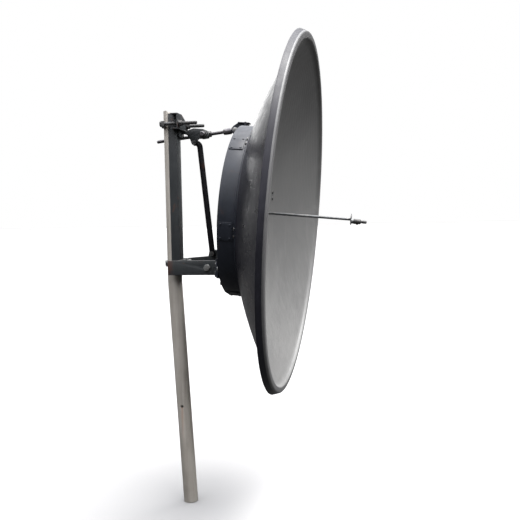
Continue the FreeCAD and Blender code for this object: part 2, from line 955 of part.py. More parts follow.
# the sloping flange that joins the ring to the shell, and its screws
skirt = doc.addObject("PartDesign::Body", "skirt_body")
outer = num("flange_outer")
skirt_sketch = outline(
    skirt,
    "XY",
    [
        (bowl_back(ring_r) - 0.12, ring_r + 0.05),
        (bowl_back(outer) - 0.12, outer),
        (bowl_back(outer) - 3.1, outer),
        (bowl_back(ring_r) - 3.1, ring_r + 0.05),
    ],
)
skirt_spin = skirt.newObject("PartDesign::Revolution", "skirt_spin")
skirt_spin.Profile = skirt_sketch
skirt_spin.ReferenceAxis = (skirt_sketch, ["H_Axis"])
skirt_spin.Angle = 360.0
skirt_sketch.Visibility = False
doc.recompute()
skirt_holes = []
heads = []
for k, degrees in enumerate(screw_angles):
    at = Vector(*polar(bowl_back(screw_ring), screw_ring, degrees))
    turn = slope_turn(screw_ring, degrees)
    out = turn.multVec(Vector(0, 0, 1))
    skirt_holes.append(cylinder(f"skirt_hole{k}", 3.3, 16, tuple(at - out * 8), turn))
    shank = cylinder(f"screw_shank{k}", 3.0, 10.2, tuple(at - out * 5.2), turn)
    head = cylinder(f"screw_head{k}", 5.6, 3.0, tuple(at + out * 2.45), turn)
    tail = hexagon(f"screw_nut{k}", 5.6, 3.4, tuple(at - out * 6.4), turn)
    heads.append(fuse(f"screw{k}", [shank, head, tail]))
keep(cut("skirt_cut", skirt, skirt_holes), "ring_flange", DISH)
keep(gather("screw_set", heads), "flange_screws", DISH)

# joint straps over the ring's butt joints
strap_wide = 11.5
strap_long = 45.0
strap_back = back + 4.0
straps = []
rivets = []
for k, degrees in enumerate(strap_angles):
    # a partial cylinder opens from its own +X, which the first turn lays along +Y
    turn = Rotation(Vector(1, 0, 0), degrees - strap_wide / 2).multiply(
        Rotation(Vector(0, 1, 0), Vector(0, 0, 1), Vector(1, 0, 0), "ZXY")
    )
    at = (strap_back, 0, 0)
    slab = cylinder(f"strap_slab{k}", ring_r + 2.6, strap_long, at, turn, strap_wide)
    core = cylinder(f"strap_core{k}", ring_r + 0.05, strap_long, at, turn, 360.0)
    straps.append(cut(f"strap{k}", slab, [core]))
    for m, (dx, da) in enumerate(((8, -4.3), (8, 4.3), (37, -4.3), (37, 4.3))):
        a = degrees + da
        low = polar(strap_back + dx, ring_r + 2.6, a)
        outward = Rotation(Vector(1, 0, 0), a).multiply(ALONG_Y)
        rivets.append(cone(f"rivet{k}_{m}", 3.6, 2.2, 2.0, low, outward))
keep(gather("strap_set", straps), "joint_straps", DISH)
keep(gather("rivet_set", rivets), "strap_rivets", DISH)

# ---------------------------------------------------------------- mount plate, beam and ears
plate_back = back - 4.1
disc = cylinder("segment_disc", ring_r - 2, 4.0, (plate_back, 0, 0), ALONG_X)
keep_below = box("segment_box", (plate_back - 5, -300, -300), (back + 5, 300, -150))
segment = doc.addObject("Part::Common", "segment")
segment.Base = disc
segment.Tool = keep_below
mount_holes = [
    cylinder(f"mount_hole{k}", 4.4, 20, polar(back - 12, mount_ring, degrees), ALONG_X)
    for k, degrees in enumerate(mount_angles)
]
keep(cut("segment_cut", segment, mount_holes), "mount_plate", DISH)

m8_corner = 7.5
mount_bolts = []
for k, degrees in enumerate(mount_angles):
    seat = plate_back
    shank = cylinder(
        f"mount_shank{k}", 4.0, 18.0, polar(seat, mount_ring, degrees), ALONG_X
    )
    head = hexagon(
        f"mount_head{k}", m8_corner, 5.3, polar(seat - 5.3, mount_ring, degrees), ALONG_X
    )
    tail = hexagon(
        f"mount_nut{k}", m8_corner, 6.5, polar(back + wall + 0.05, mount_ring, degrees), ALONG_X
    )
    mount_bolts.append(fuse(f"mount_bolt{k}", [shank, head, tail]))

beam_back = -248.0
beam_gauge = 4.0
beam_low = pivot.z - 28
beam_high = pivot.z + 28
beam_half = 105.0
beam = padded(
    "beam",
    "XZ",
    [
        (beam_back, beam_high),
        (plate_back, beam_high),
        (plate_back, beam_high - beam_gauge),
        (beam_back + beam_gauge, beam_high - beam_gauge),
        (beam_back + beam_gauge, beam_low + beam_gauge),
        (plate_back, beam_low + beam_gauge),
        (plate_back, beam_low),
        (beam_back, beam_low),
    ],
    2 * beam_half,
    -beam_half,
)
ear_bolt_y = 80.0
ear_places = [
    (side * ear_bolt_y, pivot.z + rise) for side in (-1, 1) for rise in (-14.0, 14.0)
]
beam_holes = [
    cylinder(f"beam_hole{k}", 5.4, 20, (beam_back - 8, y, z), ALONG_X)
    for k, (y, z) in enumerate(ear_places)
]
keep(cut("beam_cut", beam, beam_holes), "pivot_beam", DISH)

ear_gauge = num("plate_gauge")
bush_radius = 8.5


def ear(name, side):
    """An angle ear: one leg beside the yoke arm, the other bolted to the beam."""
    start = ear_in if side > 0 else -ear_out
    leg = padded(
        name + "_leg",
        "XZ",
        [
            (pivot.x, pivot.z - 21),
            (beam_back, pivot.z - 25),
            (beam_back, pivot.z + 25),
            (pivot.x, pivot.z + 21),
        ],
        "plate_gauge",
        start,
    )
    nose = cylinder(name + "_nose", 21.0, ear_gauge, (pivot.x, start, pivot.z), ALONG_Y)
    low_y, high_y = sorted((side * (ear_in + 1), side * 102.0))
    flange = box(
        name + "_flange",
        (beam_back - ear_gauge, low_y, pivot.z - 25),
        (beam_back, high_y, pivot.z + 25),
    )
    holes = [
        cylinder(name + "_bore", bush_radius, 20, (pivot.x, start - 7, pivot.z), ALONG_Y)
    ]
    for k, (y, z) in enumerate(ear_places):
        if y * side > 0:
            low = (beam_back - 12, y, z)
            holes.append(cylinder(f"{name}_hole{k}", 5.4, 20, low, ALONG_X))
    return cut(name, fuse(name + "_solid", [leg, nose, flange]), holes)


keep(ear("ear_near", -1), "pivot_ear_near", DISH)
keep(ear("ear_far", 1), "pivot_ear_far", DISH)

ear_bolts = []
for k, (y, z) in enumerate(ear_places):
    seat = beam_back - ear_gauge
    shank = cylinder(f"ear_shank{k}", 5.0, 22.0, (seat, y, z), ALONG_X)
    head = hexagon(f"ear_head{k}", m10_corner, 6.4, (seat - 6.4, y, z), ALONG_X)
    tail = hexagon(f"ear_nut{k}", m10_corner, 8.4, (beam_back + beam_gauge, y, z), ALONG_X)
    ear_bolts.append(fuse(f"ear_bolt{k}", [shank, head, tail]))
keep(gather("ear_bolt_set", ear_bolts), "ear_bolts", DISH)

bushes = []
for side, outward, name in ((-1, AGAINST_Y, "near"), (1, ALONG_Y, "far")):
    sleeve = cylinder(
        f"bush_sleeve_{name}", bush_radius, 6.0, (pivot.x, side * ear_in, pivot.z), outward
    )
    collar = cylinder(
        f"bush_collar_{name}", 11.0, 1.85, (pivot.x, side * ear_out, pivot.z), outward
    )
    bore = cylinder(
        f"bush_bore_{name}",
        num("bolt_radius") + fit,
        12,
        (pivot.x, side * (ear_in - 2), pivot.z),
        outward,
    )
    solid = fuse(f"bush_solid_{name}", [sleeve, collar])
    bushes.append(cut(f"bush_{name}", solid, [bore]))
keep(gather("bush_set", bushes), "pivot_bushes", DISH)

# ---------------------------------------------------------------- clevis bracket on the ring
foot_back = back - 5.1
leg = box("clevis_leg", (foot_back, rod_y - 32, 254), (back - 0.1, rod_y + 32, 307))
hood = box("clevis_hood", (-245, rod_y - 16, 303), (-205, rod_y + 16, 307))
cheeks = []
for k, y in enumerate((rod_y - 12.5, rod_y + 8)):
    cheeks.append(
        padded(
            f"cheek{k}",
            "XZ",
            [
                (clevis.x, clevis.z - 14),
                (foot_back, 256.0),
                (foot_back, 305.0),
                (-244.0, 305.0),
                (clevis.x - 8, clevis.z + 13),
            ],
            4.5,
            y,
        )
    )
    cheeks.append(
        cylinder(f"cheek_nose{k}", 14.0, 4.5, (clevis.x, y, clevis.z), ALONG_Y)
    )
clevis_holes = [
    cylinder("clevis_bore", num("bolt_radius") + fit, 60, (clevis.x, 20, clevis.z), ALONG_Y)
]
for k, degrees in enumerate(bracket_angles):
    low = polar(foot_back - 5, mount_ring, degrees)
    clevis_holes.append(cylinder(f"clevis_foot_hole{k}", 4.4, 20, low, ALONG_X))
bracket = fuse("clevis_solid", [leg, hood] + cheeks)
keep(cut("clevis_cut", bracket, clevis_holes), "clevis_bracket", DISH)

pin = fuse(
    "pin_solid",
    [
        cylinder("pin_shank", "bolt_radius", 34.0, (clevis.x, rod_y - 12.5, clevis.z), ALONG_Y),
        cylinder("pin_head", 9.0, 4.0, (clevis.x, rod_y - 16.6, clevis.z), ALONG_Y),
    ],
)
pin_hole = cylinder("pin_hole", 1.6, 20, (clevis.x, rod_y + 17, clevis.z - 10))
cotter = cylinder("cotter_bar", 1.5, 20, (clevis.x, rod_y + 17, clevis.z - 10))
keep(cut("pin_cut", pin, [pin_hole]), "clevis_pin", DISH)
keep(cotter, "clevis_cotter", DISH)

for k, degrees in enumerate(bracket_angles):
    shank = cylinder(
        f"clevis_shank{k}", 4.0, 18.0, polar(foot_back, mount_ring, degrees), ALONG_X
    )
    head = hexagon(
        f"clevis_head{k}",
        m8_corner,
        5.3,
        polar(foot_back - 5.3, mount_ring, degrees),
        ALONG_X,
    )
    tail = hexagon(
        f"clevis_nut{k}",
        m8_corner,
        6.5,
        polar(back + wall + 0.05, mount_ring, degrees),
        ALONG_X,
    )
    mount_bolts.append(fuse(f"clevis_bolt{k}", [shank, head, tail]))
keep(gather("ring_bolt_set", mount_bolts), "ring_bolts", DISH)

# ---------------------------------------------------------------- vertex hub and feed
hub_r = num("hub_radius")
sleeve_r = num("sleeve_radius")
hub_face = bowl_front(hub_r) + 0.15
hub_rear = bowl_back(0) - 0.1
bore = sleeve_r + fit
hub_front = fuse(
    "hub_front_solid",
    [
        cylinder("hub_disc", "hub_radius", 5.0, (hub_face, 0, 0), ALONG_X),
        cylinder("hub_boss", 19.0, 28.0, (hub_face, 0, 0), ALONG_X),
    ],
)
hub_holes = [cylinder("hub_bore", bore, 60, (hub_face - 5, 0, 0), ALONG_X)]
rear_holes = [cylinder("hub_rear_bore", bore, 20, (hub_rear - 12, 0, 0), ALONG_X)]
hub_screws = []
for k, degrees in enumerate(hub_angles):
    low = polar(hub_rear - 12, hub_ring, degrees)
    hub_holes.append(cylinder(f"hub_hole{k}", 3.3, 30, low, ALONG_X))
    rear_holes.append(cylinder(f"hub_rear_hole{k}", 3.3, 30, low, ALONG_X))
    shank = cylinder(
        f"hub_shank{k}", 3.0, 19.0, polar(hub_rear - 10, hub_ring, degrees), ALONG_X
    )
    head = hexagon(
        f"hub_head{k}", 5.6, 4.0, polar(hub_face + 5, hub_ring, degrees), ALONG_X
    )
    tail = hexagon(
        f"hub_nut{k}", 5.6, 4.8, polar(hub_rear - 8.8, hub_ring, degrees), ALONG_X
    )
    hub_screws.append(fuse(f"hub_screw{k}", [shank, head, tail]))
keep(cut("hub_front_cut", hub_front, hub_holes), "hub_front", DISH)
rear = cylinder("hub_rear", "hub_radius", 4.0, (hub_rear - 4, 0, 0), ALONG_X)
keep(cut("hub_rear_cut", rear, rear_holes), "hub_back", DISH)

boss_front = hub_face + 28
collar_front = boss_front + 14
collar_disc = cylinder("collar_disc", 20.0, 13.8, (boss_front + 0.1, 0, 0), ALONG_X)
collar_bore = cylinder("collar_bore", bore, 20, (boss_front - 3, 0, 0), ALONG_X)
screw_x = boss_front + 7
collar_tap = cylinder("collar_tap", 3.05, 14, (screw_x, 0, 8))
keep(cut("collar_cut", collar_disc, [collar_bore, collar_tap]), "feed_collar", DISH)
lock_screw = fuse(
    "lock_screw_solid",
    [
        cylinder("lock_shank", 3.0, 13.0, (screw_x, 0, sleeve_r + 0.1)),
        hexagon("lock_head", 5.6, 4.0, (screw_x, 0, 22.0)),
    ],
)
keep(gather("hub_screw_set", hub_screws + [lock_screw]), "hub_screws", DISH)

# the feed turns as one in the hub: sleeve, boom, splash disc, head, stub and tip
sleeve_front = collar_front + 6
sleeve_back = hub_rear - 34
boom_start = sleeve_front - 20
boom_front = boom_start + num("boom_long")
sleeve_solid = cylinder(
    "sleeve_bar", "sleeve_radius", sleeve_front - sleeve_back, (sleeve_back, 0, 0), ALONG_X
)
sleeve_nose = cone("sleeve_nose", 11.0, 6.5, 9.0, (sleeve_front, 0, 0), ALONG_X)
sleeve_bore = cylinder("sleeve_bore", "boom_radius", 40, (boom_start, 0, 0), ALONG_X)
keep(
    cut("sleeve_cut", fuse("sleeve_solid", [sleeve_solid, sleeve_nose]), [sleeve_bore]),
    "feed_sleeve",
    DISH,
)
boom = cylinder("boom", "boom_radius", "boom_long", (boom_start, 0, 0), ALONG_X)
keep(boom, "feed_boom", DISH)

disc_back = boom_front
# the head hangs a little below the boom, so the disc carries it off centre
head_level = num("-feed_drop")
splash = fuse(
    "splash_solid",
    [
        cylinder("splash_disc", "feed_disc_radius", 2.2, (disc_back, 0, 0), ALONG_X),
        cone("splash_hub", 8.2, 7.2, 8.0, (disc_back + 2.2, 0, head_level), ALONG_X),
    ],
)
keep(splash, "feed_disc", DISH)
head_back = disc_back + 10.2
head_long = 22.0
head = fuse(
    "feed_head_solid",
    [
        cylinder(
            "feed_head_bar", "feed_head_radius", head_long, (head_back, 0, head_level), ALONG_X
        ),
        cone(
            "feed_head_nose", 8.5, 5.0, 3.0, (head_back + head_long, 0, head_level), ALONG_X
        ),
    ],
)
stub_x = head_back + 12
stub_bore = cylinder("stub_bore", 3.5, 6.0, (stub_x, 0, head_level - 9.5))
keep(cut("feed_head_cut", head, [stub_bore]), "feed_head", DISH)
stub = fuse(
    "stub_solid",
    [
        cylinder("stub_bar", 3.5, 6.2, (stub_x, 0, head_level - 9.7)),
        cone("stub_end", 2.2, 3.5, 1.3, (stub_x, 0, head_level - 11.0)),
    ],
)
keep(stub, "feed_stub", DISH)
tip_back = head_back + head_long + 3
tip = fuse(
    "tip_solid",
    [
        cylinder("tip_neck", 4.2, 5.0, (tip_back, 0, head_level), ALONG_X),
        cylinder("tip_bar", 5.2, 10.5, (tip_back + 5, 0, head_level), ALONG_X),
        cone("tip_end", 5.2, 3.4, 3.0, (tip_back + 15.5, 0, head_level), ALONG_X),
    ],
)
keep(tip, "feed_tip", DISH)

# the coaxial socket at the back of the sleeve
socket = fuse(
    "socket_solid",
    [
        hexagon("socket_hex", 12.5, 7.0, (sleeve_back - 7, 0, 0), ALONG_X),
        cylinder("socket_barrel", 7.9, 14.0, (sleeve_back - 21, 0, 0), ALONG_X),
    ],
)
socket_bore = cylinder("socket_bore", 4.3, 12.0, (sleeve_back - 21, 0, 0), ALONG_X)
keep(cut("socket_cut", socket, [socket_bore]), "feed_socket", DISH)
insulator = ring("insulator", 4.3, 1.0, 3.0, (sleeve_back - 12, 0, 0), ALONG_X)
keep(insulator, "socket_insulator", DISH)
contact = cylinder("contact", 1.0, 8.0, (sleeve_back - 17, 0, 0), ALONG_X)
keep(contact, "socket_contact", DISH)

# ---------------------------------------------------------------- checks and export
doc.recompute()
for item in doc.Objects:
    state = item.State
    if "Invalid" in state or "Error" in state:
        raise RuntimeError(f"{item.Name} ({item.Label}) did not rebuild: {state}")
for label, item in exports.items():
    if item.Shape.isNull() or not item.Shape.isValid():
        raise RuntimeError(f"{label} has no valid shape")
    if not item.Shape.Solids:
        raise RuntimeError(f"{label} has no solid")
for label, item in exports.items():
    item.Shape.exportStep(f"parts/{label}.step")
print(len(exports), "pieces written")
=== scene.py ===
import json
import math

import bmesh
import bpy
from mathutils import Matrix, Vector


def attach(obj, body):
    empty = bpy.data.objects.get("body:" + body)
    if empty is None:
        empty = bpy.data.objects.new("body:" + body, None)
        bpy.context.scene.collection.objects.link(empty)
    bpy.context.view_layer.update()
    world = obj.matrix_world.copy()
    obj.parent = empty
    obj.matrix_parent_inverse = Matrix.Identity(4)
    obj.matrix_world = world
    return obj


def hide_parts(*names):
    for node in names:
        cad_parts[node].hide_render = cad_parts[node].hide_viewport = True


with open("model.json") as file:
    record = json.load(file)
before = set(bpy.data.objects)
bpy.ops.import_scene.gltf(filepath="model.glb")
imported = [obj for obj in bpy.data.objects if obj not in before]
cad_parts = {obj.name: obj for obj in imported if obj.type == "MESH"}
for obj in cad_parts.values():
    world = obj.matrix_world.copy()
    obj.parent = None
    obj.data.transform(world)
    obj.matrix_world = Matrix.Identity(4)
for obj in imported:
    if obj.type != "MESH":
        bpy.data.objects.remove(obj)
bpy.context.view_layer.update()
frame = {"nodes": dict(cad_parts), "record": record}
NODES = frame["nodes"]
RECORD = frame["record"]
SLOT_OF = {row["node"]: row["material_slot"] for row in RECORD["subparts"]}
BODY_OF = {n: body for body, names in RECORD["behaviour"]["bodies"].items() for n in names}

scene = bpy.context.scene
MM = 0.001
TAU = 2 * math.pi

# ------------------------------------------------------------------ frames
# The same four working frames as part.py, in metres.
LEAN = math.radians(2.8)
AXIS_X = -0.783 * math.tan(LEAN)
MAST = Matrix.Identity(4)
HEAD = Matrix.Translation((AXIS_X, 0, 0.841))
DISH = HEAD @ Matrix.Translation((0.446, 0, 0.172)) @ Matrix.Rotation(math.radians(5.36), 4, "Y")
ROD = (
    HEAD
    @ Matrix.Translation((0.220, 0.052, 0.4737))
    @ Matrix.Rotation(math.radians(-5.96), 4, "Y")
)
FRAME_OF_BODY = {
    "mast": MAST,
    "mount": HEAD,
    "dish": DISH,
    "feed": DISH,
    "swivel": ROD,
    "rod": ROD,
}

# turns that lay a piece built along +Z onto another axis
QUARTER = math.pi / 2
ALONG_X = Matrix.Rotation(QUARTER, 4, "Y")
AGAINST_X = Matrix.Rotation(-QUARTER, 4, "Y")
ALONG_Y = Matrix.Rotation(-QUARTER, 4, "X")
AGAINST_Y = Matrix.Rotation(QUARTER, 4, "X")
UPRIGHT = Matrix.Identity(4)


def at(x, y, z, turn=UPRIGHT):
    """A place in a working frame, in millimetres, with one of the turns above."""
    return Matrix.Translation((x * MM, y * MM, z * MM)) @ turn


# ------------------------------------------------------------------ camera
CAMERA_AT = Vector((0.74596, -2.42684, 1.01771))
CAMERA_RIGHT = Vector((0.9813, 0.1917, -0.0194))
CAMERA_AHEAD = Vector((-0.1925, 0.9793, -0.0627))
FOCAL_PIXELS = 719.0
FRAME_PIXELS = 520.0


def make_camera():
    data = bpy.data.cameras.new("camera")
    data.sensor_width = 36.0
    data.lens = FOCAL_PIXELS / FRAME_PIXELS * data.sensor_width
    camera = bpy.data.objects.new("camera", data)
    back = -CAMERA_AHEAD.normalized()
    right = (CAMERA_RIGHT - back * CAMERA_RIGHT.dot(back)).normalized()
    up = back.cross(right)
    turn = Matrix((right, up, back)).transposed().to_4x4()
    camera.matrix_world = Matrix.Translation(CAMERA_AT) @ turn
    scene.collection.objects.link(camera)
    scene.camera = camera


make_camera()


# ------------------------------------------------------------------ material nodes
def grey(v):
    return (v, v, v)


class Surface:
    """A principled material and the node helpers that feed it."""

    def __init__(self, name, rough=0.5, metal=0.0, specular=0.5):
        self.material = bpy.data.materials.new(name)
        self.material.use_nodes = True
        self.tree = self.material.node_tree
        self.shader = next(n for n in self.tree.nodes if n.type == "BSDF_PRINCIPLED")
        self.shader.inputs["Roughness"].default_value = rough
        self.shader.inputs["Metallic"].default_value = metal
        self.shader.inputs["Specular IOR Level"].default_value = specular
        self.coords = self.new("TexCoord").outputs["Object"]
        self.normal = None

    def new(self, kind):
        return self.tree.nodes.new("ShaderNode" + kind)

    def put(self, socket, value):
        if isinstance(value, bpy.types.NodeSocket):
            self.tree.links.new(value, socket)
        elif isinstance(value, tuple) and len(value) == 3 and len(socket.default_value) == 4:
            socket.default_value = (*value, 1.0)
        else:
            socket.default_value = value

    def stretched(self, scale):
        node = self.new("Mapping")
        self.put(node.inputs["Vector"], self.coords)
        self.put(node.inputs["Scale"], scale)
        return node.outputs["Vector"]

    def noise(self, scale, detail=4.0, rough=0.55, distort=0.0, coords=None):
        node = self.new("TexNoise")
        self.put(node.inputs["Vector"], coords or self.coords)
        self.put(node.inputs["Scale"], scale)
        self.put(node.inputs["Detail"], detail)
        self.put(node.inputs["Roughness"], rough)
        self.put(node.inputs["Distortion"], distort)
        return node.outputs["Fac"]

    def cells(self, scale):
        node = self.new("TexVoronoi")
        self.put(node.inputs["Vector"], self.coords)
        self.put(node.inputs["Scale"], scale)
        return node.outputs

    def ramp(self, value, stops):
        node = self.new("ValToRGB")
        while len(node.color_ramp.elements) < len(stops):
            node.color_ramp.elements.new(0.5)
        for element, (place, colour) in zip(node.color_ramp.elements, stops):
            element.position = place
            element.color = (*(grey(colour) if isinstance(colour, (int, float)) else colour), 1.0)
        self.put(node.inputs["Fac"], value)
        return node.outputs["Color"]

    def math(self, operation, a, b=0.0, clamp=False):
        node = self.new("Math")
        node.operation = operation
        node.use_clamp = clamp
        self.put(node.inputs[0], a)
        self.put(node.inputs[1], b)
        return node.outputs[0]

    def mix(self, factor, a, b):
        node = self.new("Mix")
        node.data_type = "RGBA"
        self.put(node.inputs[0], factor)
        self.put(node.inputs[6], a)
        self.put(node.inputs[7], b)
        return node.outputs[2]

    def axis(self, name, coords=None):
        node = self.new("SeparateXYZ")
        self.put(node.inputs[0], coords or self.coords)
        return node.outputs[name]

    def facing_up(self):
        """How far the surface faces the sky, 0 to 1."""
        node = self.new("NewGeometry")
        return self.math("MAXIMUM", self.axis("Z", node.outputs["Normal"]), 0.0)

    def worn_edge(self):
        """1 on the faces that a bevel made, 0 elsewhere."""
        node = self.new("Attribute")
        node.attribute_name = "wear"
        return node.outputs["Fac"]

    def bump(self, height, strength, distance):
        node = self.new("Bump")
        self.put(node.inputs["Strength"], strength)
        self.put(node.inputs["Distance"], distance)
        self.put(node.inputs["Height"], height)
        if self.normal is not None:
            self.put(node.inputs["Normal"], self.normal)
        self.normal = node.outputs["Normal"]
        self.put(self.shader.inputs["Normal"], self.normal)

    def finish(self, colour, rough=None):
        self.put(self.shader.inputs["Base Color"], colour)
        if rough is not None:
            self.put(self.shader.inputs["Roughness"], rough)
        return self.material


DUST = (0.20, 0.18, 0.155)
RUST = (0.115, 0.042, 0.018)
RUST_DARK = (0.045, 0.018, 0.01)
# the old, dark rust at the yoke arms' back ends
SCALE_DARK = (0.010, 0.006, 0.005)
SCALE_BROWN = (0.055, 0.022, 0.015)


def satin_paint(
    name, base, dark, rough=0.42, dust=0.25, wear=0.6, rust=0.0, specular=0.5, peel=0.12, creep=None
):
    """Brushed or sprayed paint: slow tone drift, rain streaks, dust on top, worn edges, rust.

    `creep` is a start and end along the piece's own X between which rust eats in.
    """
    s = Surface(name, rough, specular=specular)
    drift = s.noise(5.0, 5.0, 0.6)
    streak = s.noise(9.0, 3.0, 0.6, coords=s.stretched((3.0, 3.0, 0.35)))
    fine = s.noise(160.0, 3.0, 0.6)
    tone = s.math("ADD", s.math("MULTIPLY", drift, 0.55), s.math("MULTIPLY", streak, 0.45))
    colour = s.ramp(tone, [(0.33, dark), (0.62, base)])
    speck = s.ramp(fine, [(0.60, 0.0), (0.74, 1.0)])
    colour = s.mix(s.math("MULTIPLY", speck, 0.25), colour, tuple(1.5 * c for c in base))
    patchy = s.ramp(s.noise(14.0, 5.0, 0.65), [(0.40, 0.0), (0.68, 1.0)])
    film = s.math("MULTIPLY", s.math("MULTIPLY", s.facing_up(), patchy), dust)
    colour = s.mix(film, colour, DUST)
    chips = s.ramp(s.noise(70.0, 4.0, 0.7), [(0.50, 0.0), (0.60, 1.0)])
    bare = s.math("MULTIPLY", s.math("MULTIPLY", s.worn_edge(), chips), wear)
    worn = tuple(min(1.0, 2.4 * c + 0.03) for c in base)
    colour = s.mix(bare, colour, worn)
    if rust:
        spots = s.ramp(s.noise(24.0, 6.0, 0.7, 0.4), [(0.60, 0.0), (0.70, 1.0)])
        shade = s.mix(fine, RUST_DARK, RUST)
        colour = s.mix(s.math("MULTIPLY", spots, rust), colour, shade)
    if creep:
        reach = s.new("MapRange")
        s.put(reach.inputs["Value"], s.axis("X"))
        s.put(reach.inputs["From Min"], creep[0])
        s.put(reach.inputs["From Max"], creep[1])
        inward = reach.outputs["Result"]
        broken = s.math("MULTIPLY", s.math("SUBTRACT", s.noise(60.0, 6.0, 0.75), 0.5), 3.0)
        eaten = s.math("ADD", s.math("MULTIPLY", inward, 0.95), broken)
        eaten = s.math("MULTIPLY", eaten, s.ramp(inward, [(0.0, 0.0), (0.3, 1.0)]), True)
        scale = s.mix(s.noise(150.0, 5.0, 0.7), SCALE_DARK, SCALE_BROWN)
        colour = s.mix(eaten, colour, scale)
    roughness = s.ramp(
        s.noise(30.0, 4.0, 0.6), [(0.3, max(0.05, rough - 0.08)), (0.7, rough + 0.12)]
    )
    s.bump(s.noise(700.0, 2.0), peel, 0.0004)
    s.bump(drift, 0.10, 0.002)
    return s.finish(colour, roughness)


def metal(name, base, dark, rough=0.35, level=0.9, stain=0.35, stain_colour=DUST):
    """Bare or plated metal with handling marks, stains and fine scratches."""
    s = Surface(name, rough, level)
    cloud = s.noise(60.0, 5.0, 0.6)
    colour = s.ramp(cloud, [(0.3, dark), (0.7, base)])
    grime = s.ramp(s.noise(110.0, 5.0, 0.7), [(0.52, 0.0), (0.66, 1.0)])
    colour = s.mix(s.math("MULTIPLY", grime, stain), colour, stain_colour)
    scratch = s.noise(40.0, 2.0, 0.5, coords=s.stretched((1.0, 9.0, 9.0)))
    s.bump(scratch, 0.06, 0.0003)
    roughness = s.ramp(cloud, [(0.25, max(0.06, rough - 0.1)), (0.75, rough + 0.15)])
    return s.finish(colour, roughness)


def mast_steel():
    """Weathered galvanised tube: zinc bloom, faint spangle, rain streaks, rust at the drain hole."""
    s = Surface("mast_steel", 0.55, 0.15)
    spangle = s.cells(140.0)["Color"]
    sheet = s.axis("X", spangle)
    streak = s.noise(16.0, 5.0, 0.62, coords=s.stretched((3.2, 3.2, 0.16)))
    bloom = s.noise(7.0, 5.0, 0.62)
    tone = s.math("ADD", s.math("MULTIPLY", streak, 0.6), s.math("MULTIPLY", bloom, 0.4))
    colour = s.ramp(
        tone,
        [(0.30, (0.128, 0.114, 0.098)), (0.50, (0.203, 0.187, 0.165)), (0.68, (0.266, 0.250, 0.227))],
    )
    colour = s.mix(s.math("MULTIPLY", sheet, 0.10), colour, (0.225, 0.215, 0.20))
    spot = s.ramp(s.noise(55.0, 6.0, 0.72, 0.3), [(0.63, 0.0), (0.72, 1.0)])
    colour = s.mix(s.math("MULTIPLY", spot, 0.55), colour, (0.105, 0.060, 0.036))
    # a weep of rust below the drain hole
    level = s.axis("Z")
    below = s.ramp(level, [(0.215, 0.0), (0.345, 0.9), (0.3475, 0.0)])
    side = s.math("ABSOLUTE", s.math("ADD", s.axis("X"), 0.017))
    near = s.math("SUBTRACT", 1.0, s.math("MULTIPLY", side, 170.0), True)
    beneath = s.math("MULTIPLY", below, near)
    uneven = s.ramp(streak, [(0.3, 0.3), (0.6, 1.0)])
    weep = s.math("MULTIPLY", beneath, uneven)
    colour = s.mix(weep, colour, (0.12, 0.058, 0.028))
    s.bump(s.noise(240.0, 3.0), 0.10, 0.0005)
    s.bump(bloom, 0.10, 0.0015)
    return s.finish(colour, s.ramp(bloom, [(0.3, 0.46), (0.7, 0.66)]))


def spun_paint(name, base, dark, rough, rings, dust, specular=0.5):
    """Paint over spun metal: the rings of the spinning roller show through as faint ridges."""
    s = Surface(name, rough, specular=specular)
    around = s.new("CombineXYZ")
    place = s.new("SeparateXYZ")
    s.put(place.inputs[0], s.coords)
    s.put(around.inputs["Y"], place.outputs["Y"])
    s.put(around.inputs["Z"], place.outputs["Z"])
    length = s.new("VectorMath")
    length.operation = "LENGTH"
    s.put(length.inputs[0], around.outputs[0])
    radius = length.outputs["Value"]
    # ridges about 9 mm apart, drifting in strength with the radius
    wave = s.math("SINE", s.math("MULTIPLY", radius, 698.0))
    fade = s.noise(1.0, 3.0, 0.6)
    s.put(fade.node.inputs["Scale"], 26.0)
    band = s.new("CombineXYZ")
    s.put(band.inputs["X"], radius)
    s.put(fade.node.inputs["Vector"], band.outputs[0])
    ridge = s.math("MULTIPLY", s.math("MULTIPLY", wave, fade), rings)
    drift = s.noise(2.6, 5.0, 0.58)
    mottle = s.noise(34.0, 5.0, 0.66)
    tone = s.math("ADD", s.math("MULTIPLY", drift, 0.7), s.math("MULTIPLY", mottle, 0.3))
    colour = s.ramp(tone, [(0.34, dark), (0.64, base)])
    ringed = s.ramp(fade, [(0.35, 0.0), (0.75, 1.0)])
    colour = s.mix(s.math("MULTIPLY", ringed, 0.18), colour, tuple(0.72 * c for c in base))
    patchy = s.ramp(s.noise(9.0, 6.0, 0.66), [(0.42, 0.0), (0.66, 1.0)])
    film = s.math("MULTIPLY", s.math("MULTIPLY", s.facing_up(), patchy), dust)
    colour = s.mix(film, colour, DUST)
    # rain runs down the face
    streak = s.noise(22.0, 4.0, 0.62, coords=s.stretched((1.0, 3.0, 0.22)))
    runs = s.ramp(streak, [(0.55, 0.0), (0.70, 1.0)])
    colour = s.mix(s.math("MULTIPLY", runs, 0.14), colour, tuple(1.6 * c + 0.01 for c in base))
    chips = s.ramp(s.noise(60.0, 4.0, 0.7), [(0.52, 0.0), (0.62, 1.0)])
    bare = s.math("MULTIPLY", s.math("MULTIPLY", s.worn_edge(), chips), 0.5)
    colour = s.mix(bare, colour, grey(0.32))
    s.bump(ridge, 0.22, 0.0006)
    s.bump(s.noise(820.0, 2.0), 0.10, 0.0003)
    return s.finish(colour, s.ramp(mottle, [(0.3, rough - 0.05), (0.7, rough + 0.1)]))


